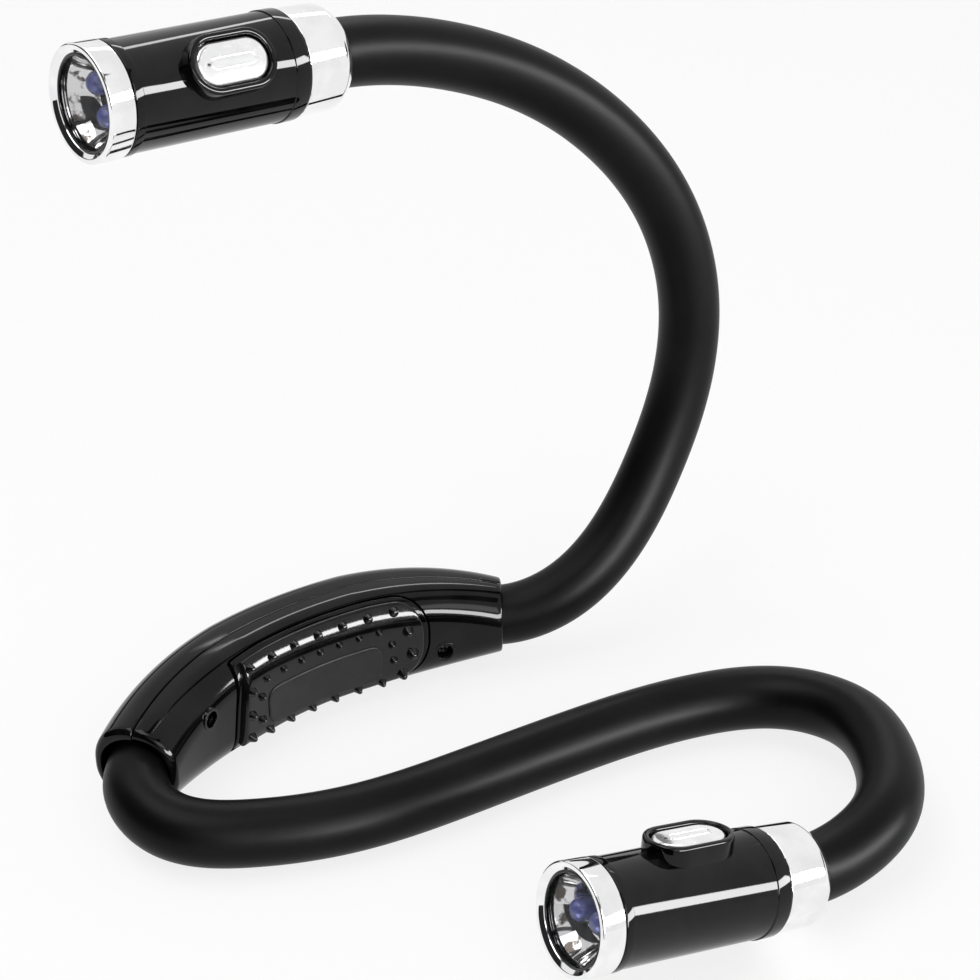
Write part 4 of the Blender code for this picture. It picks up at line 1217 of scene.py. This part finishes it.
@dataclass
class LampHead(SubAssembly):
    """One lamp head, measured forward from the collar's rear rim, its button along +X."""

    sides: int = 96
    hole_sides: int = 40
    dome_sides: int = 32
    small_sides: int = 24
    edge: float = 0.2
    soft_edge: float = 0.35
    bore_round: float = 0.3
    rear_round: float = 0.5
    waist_round: float = 0.08
    collar_l: float = 11.5
    collar_r: float = 11.5
    collar_rear_r: float = 10.0
    collar_bore_r: float = 7.8
    collar_seat: float = 5.3
    shoulder_r: float = 11.35
    shoulder_l: float = 1.9
    shoulder_round: float = 2.2
    nose_l: float = 3.0
    nose_r: float = 10.2
    hall_r: float = 9.0
    barrel_l: float = 41.9
    barrel_nose_l: float = 2.3
    barrel_nose_wall: float = 1.1
    barrel_r: float = 11.8
    barrel_wall: float = 1.3
    band_step: float = 0.25
    band_slope: float = 0.12
    rear_band: float = 3.5
    front_band: float = 2.0
    bezel_l: float = 5.6
    bezel_r: float = 12.0
    bezel_wall: float = 1.2
    bezel_round: float = 0.8
    face_r: float = 10.9
    face_round: float = 0.5
    slope_w: float = 0.25
    slope_h: float = 0.75
    lip_r: float = 9.8
    lip_t: float = 1.2
    lens_t: float = 1.0
    lens_round: float = 0.1
    lens_edge: float = 0.15
    lens_crown: float = 0.04
    # Sizes of the black ring that paints the shade in the gap round the lens.
    shade_ring_w: float = 0.42
    shade_ring_h: float = 0.8
    shade_ring_sink: float = 0.1
    shade_ring_round: float = 0.25
    bowl_t: float = 0.8
    bowl_depth: float = 4.8
    bowl_mouth_r: float = 9.3
    bowl_root_r: float = 4.4
    bowl_power: float = 0.55
    bowl_wall: float = 0.5
    bowl_nose_room: float = 1.22
    bowl_steps: int = 14
    led_spacing: float = 7.0
    led_r: float = 2.5
    led_flange_r: float = 2.9
    led_flange_t: float = 1.0
    led_l: float = 6.7
    led_edge: float = 0.15
    led_root_round: float = 0.1
    dome_turns: range = range(10, 90, 10)
    led_cup: Corners = (
        (0, 0.4, 0), (0.9, 0.4, 0.05), (0.9, 3.6, 0.05), (1.45, 4.2, 0.05), (1.3, 4.2, 0.05), (0.8, 3.7, 0.1),
        (0, 3.7, 0),
    )
    led_chip: Corners = ((0, 3.65, 0), (0.75, 3.65, 0), (0.75, 3.95, 0.1), (0, 4.05, 0))
    button_place: float = 19.6
    button_l: float = 8.5
    button_w: float = 4.5
    button_proud: float = 1.9
    button_edge: float = 0.95
    button_steps: int = 7
    button_crown: Corners = ((-1.9, 0.1), (-3.0, 0.16))
    flange_depth: float = 3.4
    flange_t: float = 0.8
    flange_w: float = 0.9
    rim_w: float = 1.5
    rim_proud: float = 2.2
    rim_root: float = 2.6
    rim_rounds: tuple[float, float] = (0.75, 1.1)
    rim_flare: float = 0.1
    rim_flare_drop: float = 1.2
    round_steps: int = 22
    loop: Corners = ((-0.16, -0.2, 0), (-0.16, 0.3, 0.12), (0.16, 0.3, 0.12), (0.16, -0.2, 0))
    loop_size: tuple[float, float] = (5.2, 1.15)
    dot: Corners = ((0, -0.3), (0.36, -0.3), (0.36, 0.2), (0.28, 0.26), (0, 0.26))
    dot_place: float = 5.9

    @property
    def front(self) -> float:
        """Height of the shoulder that the bezel meets."""
        return self.collar_l + GAP + self.barrel_l

    @property
    def lens_low(self) -> float:
        """Height of the lens's rear face."""
        return self.front + self.bezel_l - self.lip_t - self.lens_t

    @property
    def bowl_floor(self) -> float:
        """Height of the rear of the bowl's floor."""
        return self.lens_low - GAP - self.bowl_depth - self.bowl_t

    @property
    def seat_r(self) -> float:
        """Radius of what fits inside the bezel."""
        return self.bezel_r - self.bezel_wall - GAP

    def ring(self, corners: Sequence[Numbers], steps: int) -> Mesh:
        """Ring turned from (radius, height, rounding) corners."""
        return turned(rounded_line(corners, True, steps), self.sides)

    def build(self) -> None:
        """Builds every piece of the head."""
        self.add("collar_ring", self.collar(), "chrome", Slot.CHROME, ["collar"])
        self.build_barrel()
        self.add("bezel", self.bezel(), "chrome", Slot.CHROME, ["bezel_ring"])
        self.add("lens_disc", self.lens(), "clear_lens", Slot.LENS, ["lens"])
        # A black ring paints the shade in the gap round the lens's border.
        self.add("lens_seal", self.shade_ring(), "nub_gloss", Slot.SMOKE)
        self.build_bowl()
        self.build_leds()
        self.build_button()

    def collar(self) -> Mesh:
        """Chrome collar with a round shoulder and the nose inside the barrel.

        Returns:
            The closed collar.
        """
        end = self.collar_l
        nose_end = end + self.nose_l
        bore = self.collar_bore_r
        corners = [
            (bore, 0, self.bore_round), (self.collar_rear_r, 0, self.rear_round),
            (self.shoulder_r, self.shoulder_l, self.shoulder_round), (self.collar_r, end, self.edge),
            (self.nose_r, end, 0), (self.nose_r, nose_end, self.edge), (self.hall_r, nose_end, self.edge),
            (self.hall_r, self.collar_seat, 0), (bore, self.collar_seat, 0),
        ]
        return self.ring(corners, 7)

    def build_barrel(self) -> None:
        """Barrel with a band at each end and the hole for the button, and the button's raised rim."""
        low, high, wide = self.collar_l + GAP, self.front, self.barrel_r
        rear, fore = low + self.rear_band, high - self.front_band
        waist = wide - self.band_step
        slope = self.band_slope
        bore = wide - self.barrel_wall
        nose_bore = self.seat_r - self.barrel_nose_wall
        nose_top = high + self.barrel_nose_l
        inner = high - self.barrel_wall
        corners = [
            (bore, low, self.edge), (wide, low, self.soft_edge), (wide, rear, slope),
            (waist, rear + slope, self.waist_round), (waist, fore - slope, self.waist_round),
            (wide, fore, slope), (wide, high, self.soft_edge), (self.seat_r, high, 0),
            (self.seat_r, nose_top, self.edge), (nose_bore, nose_top, self.edge), (nose_bore, inner, 0),
            (bore, inner, 0),
        ]
        barrel = self.make("barrel_tube", self.ring(corners, 4), "smoked_barrel")
        root, top = wide - self.rim_root, wide + self.rim_proud
        hole = self.track([(GAP, wide - self.flange_depth - self.flange_t), (GAP, top)])
        barrel = carve(barrel, [(self.make("hole", hole, "smoked_barrel"), "DIFFERENCE")])
        self.fix(barrel, Slot.SMOKE, ["barrel"])
        outer = GAP + self.rim_w
        rim = [
            (GAP, root, 0), (GAP, top, self.rim_rounds[0]), (outer, top, self.rim_rounds[1]),
            (outer + self.rim_flare, wide - self.rim_flare_drop, 0), (outer, root, 0),
        ]
        self.add("button_rim", self.track(rounded_line(rim, True, 6), True), "smoked_barrel", Slot.SMOKE)

    def track(
        self, levels: Iterable[Numbers], looped: bool = False, size: tuple[float, float] | None = None
    ) -> Mesh:
        """Solid or ring of outlines with round ends, over the button's middle.

        Args:
            levels: (growth of the outline, height along X) of each outline.
            looped: Whether the outlines close to a ring.
            size: Half length and half width, where they aren't the button's.

        Returns:
            The closed mesh.
        """
        long, wide = size or (self.button_l, self.button_w)
        middle = self.collar_l + self.button_place
        rings = []
        for grow, height in levels:
            ring = []
            for end, first in ((1, -90), (-1, 90)):
                for step in range(self.round_steps + 1):
                    angle = radians(first + 180 * step / self.round_steps)
                    along = end * (long - wide) + (wide + grow) * cos(angle)
                    ring.append((height, (wide + grow) * sin(angle), middle + along))
            rings.append(ring)
        return solid(rings, looped, not looped)

    def bezel(self) -> Mesh:
        """Chrome ring with a round front rim and a slope down to the lens.

        Returns:
            The closed ring.
        """
        low = self.front + GAP
        high = low + self.bezel_l
        under = high - self.lip_t
        bore = self.bezel_r - self.bezel_wall
        corners = [
            (bore, low, self.edge), (self.bezel_r, low, self.soft_edge),
            (self.bezel_r, high, self.bezel_round), (self.face_r, high, self.face_round),
            (self.lip_r + self.slope_w, high - self.slope_h, self.slope_w),
            (self.lip_r, under, 0), (bore, under, 0),
        ]
        return self.ring(corners, 7)

    def lens(self) -> Mesh:
        """Clear disc, faintly domed.

        Returns:
            The closed disc.
        """
        low, radius = self.lens_low, self.seat_r
        top = low + self.lens_t
        corners = [
            (0, low, 0), (radius, low, self.lens_round), (radius, top - self.lens_edge, self.lens_round),
            (radius / 2, top - self.lens_crown, 0), (0, top, 0),
        ]
        return turned(rounded_line(corners, False), self.sides)

    def shade_ring(self) -> Mesh:
        """Black ring round the lens's border under the bezel's rim, painted shade for the dark gap there.

        Returns:
            The closed ring.
        """
        low = self.lens_low + self.lens_t - self.shade_ring_sink
        high = low + self.shade_ring_h
        inner, outer = self.lip_r - self.shade_ring_w, self.lip_r + self.shade_ring_sink
        bend = self.shade_ring_round
        return self.ring([(inner, low, 0), (inner, high, bend), (outer, high, bend), (outer, low, 0)], 4)

    def build_bowl(self) -> None:
        """Reflector bowl with a curved wall and two holes for the LEDs."""
        rim, floor, seat_r = self.lens_low - GAP, self.bowl_floor, self.seat_r
        inner_floor = floor + self.bowl_t
        flange_low = self.front + self.barrel_nose_l + GAP
        curve = []
        wall = []
        for step in range(self.bowl_steps + 1):
            share = step / self.bowl_steps
            radius = mix(self.bowl_root_r, self.bowl_mouth_r, share**self.bowl_power)
            curve.append((radius, mix(inner_floor, rim, share)))
            outer_r = min(radius + self.bowl_wall, seat_r - self.bowl_nose_room)
            wall.append((outer_r, mix(floor, flange_low, share)))
        profile = [(0, floor), *wall, (seat_r, flange_low), (seat_r, rim), *curve[::-1], (0, inner_floor)]
        # The bowl's finish paints dark reflections on its chrome as brown blotches.
        bowl = self.make("bowl", turned(profile, self.sides), "bowl_chrome")
        tools = []
        for side in (1, -1):
            radius, low = self.led_r + GAP, floor - self.bowl_t
            hole = turned([(0, low), (radius, low), (radius, rim), (0, rim)], self.hole_sides)
            bmesh.ops.translate(hole, verts=hole.verts, vec=(0, side * self.led_spacing / 2, 0))
            tools.append((self.make("hole", hole, "bowl_chrome"), "DIFFERENCE"))
        self.fix(carve(bowl, tools), Slot.CHROME, ["reflector"])

    def build_leds(self) -> None:
        """Two domed LEDs with a cup and a phosphor disc in each."""
        base = self.bowl_floor - GAP - self.led_flange_t
        ahead = (self.place.to_3x3() @ UP).normalized()
        seats = []
        for side in (1, -1):
            seats.append((self.place @ (Vector((0, side * self.led_spacing / 2, base)) * MM), ahead, 1.0))
        radius, shoulder = self.led_r, self.led_l - self.led_r
        flange = [
            (0, 0, 0), (self.led_flange_r, 0, self.led_edge),
            (self.led_flange_r, self.led_flange_t, self.led_edge),
            (radius, self.led_flange_t, self.led_root_round),
            (radius, shoulder, 0),
        ]
        dome = rounded_line(flange, False, 3)
        for angle in self.dome_turns:
            dome.append((radius * cos(radians(angle)), shoulder + radius * sin(radians(angle))))
        dome.append((0, self.led_l))
        model = turned(dome, self.dome_sides)
        self.add_copies("led_domes", model, seats, "led_epoxy", Slot.LED, ["led_a", "led_b"])
        for name, corners, slot in (("cup", self.led_cup, Slot.STEEL), ("chip", self.led_chip, Slot.LED)):
            model = turned(rounded_line(corners, False, 2), self.small_sides)
            self.add_copies(f"led_{name}s", model, seats, f"led_{name}", slot)

    def build_button(self) -> None:
        """Push button with a soft edge, a thin raised loop on its face and a small dark dot."""
        press = f"{self.body}_press"
        top = self.barrel_r + self.button_proud
        flange_high = self.barrel_r - self.flange_depth
        wide = self.flange_w
        levels = [(wide, flange_high - self.flange_t), (wide, flange_high), (0, flange_high)]
        for step in range(self.button_steps + 1):
            angle = pi / 2 * step / self.button_steps
            levels.append((self.button_edge * (cos(angle) - 1), top + self.button_edge * (sin(angle) - 1)))
        levels += [(grow, top + rise) for grow, rise in self.button_crown]
        self.add("button_cap", self.track(levels), "button_chrome", Slot.BUTTON, ["button"], press)
        line = rounded_line([(across, top + rise, bend) for across, rise, bend in self.loop], True, 4)
        loop = self.track(line, True, self.loop_size)
        self.add("button_loop", loop, "button_chrome", Slot.BUTTON, (), press)
        dot = turned([(radius, top + rise) for radius, rise in self.dot], self.small_sides)
        bmesh.ops.rotate(dot, verts=dot.verts, cent=(0, 0, 0), matrix=Matrix.Rotation(pi / 2, 3, "Y"))
        along = self.collar_l + self.button_place + self.dot_place
        bmesh.ops.translate(dot, verts=dot.verts, vec=(0, 0, along))
        self.add("button_dot", dot, "dot_black", Slot.SMOKE, (), press)


@dataclass(frozen=True)
class Softbox:
    """Bright or dark panel of the room that only gloss shows, in degrees; azimuth 0 is in front."""

    azimuth: float
    half_width: float
    low: float
    high: float
    strength: float


@dataclass(frozen=True)
class Lamp:
    """Rectangular soft lamp, its long side level."""

    name: str
    place: tuple[float, float, float]
    size: tuple[float, float]
    watts: float

    def build(self, aim: Vector) -> None:
        """Adds the lamp.

        Args:
            aim: Point that it faces.
        """
        data = bpy.data.lights.new(self.name, "AREA")
        data.shape = "RECTANGLE"
        data.size, data.size_y = self.size
        data.energy = self.watts
        lamp = bpy.data.objects.new(self.name, data)
        lamp.location = self.place
        lamp.rotation_euler = (aim - lamp.location).to_track_quat("-Z", "Y").to_euler()
        bpy.context.scene.collection.objects.link(lamp)


@dataclass
class Studio:
    """Floor, lamps, world and camera."""

    camera_place: tuple[float, float, float] = (46.37, -443.41, 315.60)
    tilt_deg: float = 60.0
    lens: float = 80.816
    sensor: float = 36.0
    clip: tuple[float, float] = (0.01, 20.0)
    floor_half: float = 6.0
    paper_scale: float = 6.0
    paper_tones: tuple[float, float] = (0.93, 0.95)
    white_share: float = 0.8
    fill: float = 0.6
    room_grey: float = 0.92
    box_blur: float = 0.025
    boxes: tuple[Softbox, ...] = (
        Softbox(54.0, 34.0, 10.0, 20.0, 32.0),
        Softbox(172.0, 41.6, 39.0, 41.5, 9.0),
        Softbox(300.0, 58.0, -4.0, 62.0, -0.9),
        Softbox(250.0, 60.0, -2.0, 7.0, -0.85),
        Softbox(110.0, 14.0, 0.0, 90.0, -0.85),
        Softbox(20.0, 80.0, 52.0, 58.0, -0.85),
    )
    aim: tuple[float, float, float] = (0.05, -0.02, 0.06)
    lamps: tuple[Lamp, ...] = (
        Lamp("top_panel", (-0.3, -0.1, 1.1), (0.9, 0.5), 4.2),
        Lamp("front_panel", (0.5, -0.9, 0.75), (0.8, 0.4), 3.0),
    )

    def build(self) -> None:
        """Builds the studio."""
        self.build_camera()
        self.build_floor()
        self.build_world()
        for lamp in self.lamps:
            lamp.build(Vector(self.aim))

    def build_camera(self) -> None:
        """Camera at the photograph's angle."""
        data = bpy.data.cameras.new("camera")
        data.lens = self.lens
        data.sensor_width = self.sensor
        data.clip_start, data.clip_end = self.clip
        camera = bpy.data.objects.new("camera", data)
        camera.location = Vector(self.camera_place) * MM
        camera.rotation_euler = (radians(self.tilt_deg), 0, 0)
        bpy.context.scene.collection.objects.link(camera)
        bpy.context.scene.camera = camera

    def build_floor(self) -> None:
        """Pale floor that keeps the object's shadow."""
        half = self.floor_half
        mesh = bpy.data.meshes.new("floor")
        corners = [(-half, -half, 0), (half, -half, 0), (half, half, 0), (-half, half, 0)]
        mesh.from_pydata(corners, [], [(0, 1, 2, 3)])
        made, graph, shader, place = open_material("floor_paper")
        tone = graph.spread(graph.noise(place, self.paper_scale), (0, 1), self.paper_tones)
        graph.fill(shader, {"Base Color": tone, "Roughness": 0.9, "Specular IOR Level": 0.1})
        white = graph.add("ShaderNodeEmission", {"Color": WHITE, "Strength": 1.0})
        share = graph.math("MULTIPLY", graph.math("MAXIMUM", *graph.seen()), self.white_share)
        shown = graph.add("ShaderNodeMixShader", {0: share, 1: shader.outputs[0], 2: white})
        graph.fill(graph.tree.nodes["Material Output"], {"Surface": shown})
        mesh.materials.append(made)
        link_object("floor", mesh)

    def build_world(self) -> None:
        """White room; gloss and chrome also see its softboxes and the dark gaps between its panels."""
        world = bpy.data.worlds.new("studio_world")
        bpy.context.scene.world = world
        world.use_nodes = True
        world.node_tree.nodes.clear()
        graph = Graph(world.node_tree)
        way = graph.add("ShaderNodeTexCoord", {}, "Generated")
        rise = graph.add("ShaderNodeSeparateXYZ", {"Vector": way}, "Z")
        level = self.room_grey
        for box in self.boxes:
            aim = (sin(radians(box.azimuth)), -cos(radians(box.azimuth)), 0)
            side = graph.add("ShaderNodeVectorMath", {0: way, 1: aim}, "Value", operation="DOT_PRODUCT")
            inside = box.strength
            for value, edge, blur in (
                (side, cos(radians(box.half_width)), self.box_blur),
                (rise, sin(radians(box.low)), self.box_blur),
                (rise, sin(radians(box.high)), -self.box_blur),
            ):
                soft = graph.spread(value, (edge - blur, edge), (0, 1), True)
                inside = graph.math("MULTIPLY", soft, inside)
            level = graph.math("ADD", inside, level)
        shades = []
        for strength in (self.fill, graph.math("MAXIMUM", level, 0.0), 1.0):
            shades.append(graph.add("ShaderNodeBackground", {"Color": WHITE, "Strength": strength}))
        camera, mirrored = graph.seen()
        lit = graph.add("ShaderNodeMixShader", {0: mirrored, 1: shades[0], 2: shades[1]})
        shown = graph.add("ShaderNodeMixShader", {0: camera, 1: lit, 2: shades[2]})
        graph.add("ShaderNodeOutputWorld", {"Surface": shown})


KEPT_FINISHES = {
    "cell_": "cell_jacket", "spring_": "steel", "contact_": "steel", "board": "board",
    "core_": "core_plastic", "arm_plug": "core_plastic", "tact_switch": "core_plastic",
}
ROUTE_SHARES = {
    1: (
        (0.131, -0.0095, 0.002), (0.269, -0.006, 0.051), (0.402, 0.046, 0.151), (0.517, 0.125, 0.311),
        (0.598, 0.184, 0.518), (0.612, 0.208, 0.743), (0.546, 0.215, 0.973), (0.404, 0.198, 1.173),
        (0.221, 0.157, 1.322), (0.009, 0.080, 1.427), (-0.287, -0.069, 1.496), (-0.858, -0.511, 0.055),
    ),
    2: (
        (0.117, 0.0110, -0.004), (0.179, 0.037, -0.012), (0.239, 0.153, -0.034), (0.170, 0.330, -0.049),
        (0.018, 0.505, -0.052), (-0.215, 0.670, -0.052), (-0.475, 0.834, -0.051), (-0.697, 1.016, -0.041),
        (-0.804, 1.208, -0.021), (-0.772, 1.395, -0.001), (-0.642, 1.514, 0.007), (-0.450, 1.570, 0.003),
        (-0.210, 1.466, -0.016), (0.823, -0.5285, 0.208),
    ),
}
ROUTE_SIDES = {1: -1, 2: 1}
BUTTON_WAYS = {1: (0.0, -1.0, 0.5), 2: (0.0, 0.25, 1.0)}


def dress_kept_nodes(finishes: dict[str, Material]) -> None:
    """Gives every solid that stays its procedural finish.

    Args:
        finishes: Finish name to material.
    """
    for name, node in frame["nodes"].items():
        chosen = [finish for part, finish in KEPT_FINISHES.items() if part in name]
        if chosen and not node.hide_render:
            node.data.materials.clear()
            node.data.materials.append(finishes[chosen[0]])
            log.info("%s keeps its shape, in %s", name, chosen[0])


def main() -> None:
    """Builds the studio and dresses the light."""
    logging.basicConfig(level=logging.INFO, format="%(name)s: %(message)s")
    bpy.context.scene.view_settings.view_transform = "Standard"
    finishes = {finish.name: finish.build() for finish in FINISHES}
    Studio().build()
    repeats = Repeats()
    tubes = Tubes()
    housing = Housing(finishes, repeats, "", "housing", Matrix.Identity(4))
    housing.build()
    for number, side in ROUTE_SIDES.items():
        route = Route(housing.arc, side, ROUTE_SHARES[number])
        Arm(number, route, tubes, finishes["soft_sleeve"]).build()
        head = f"head_{number}"
        place = route.head_place(BUTTON_WAYS[number])
        LampHead(finishes, repeats, f"{head}_", head, place).build()
    dress_kept_nodes(finishes)


if __name__ == "__main__":
    main()
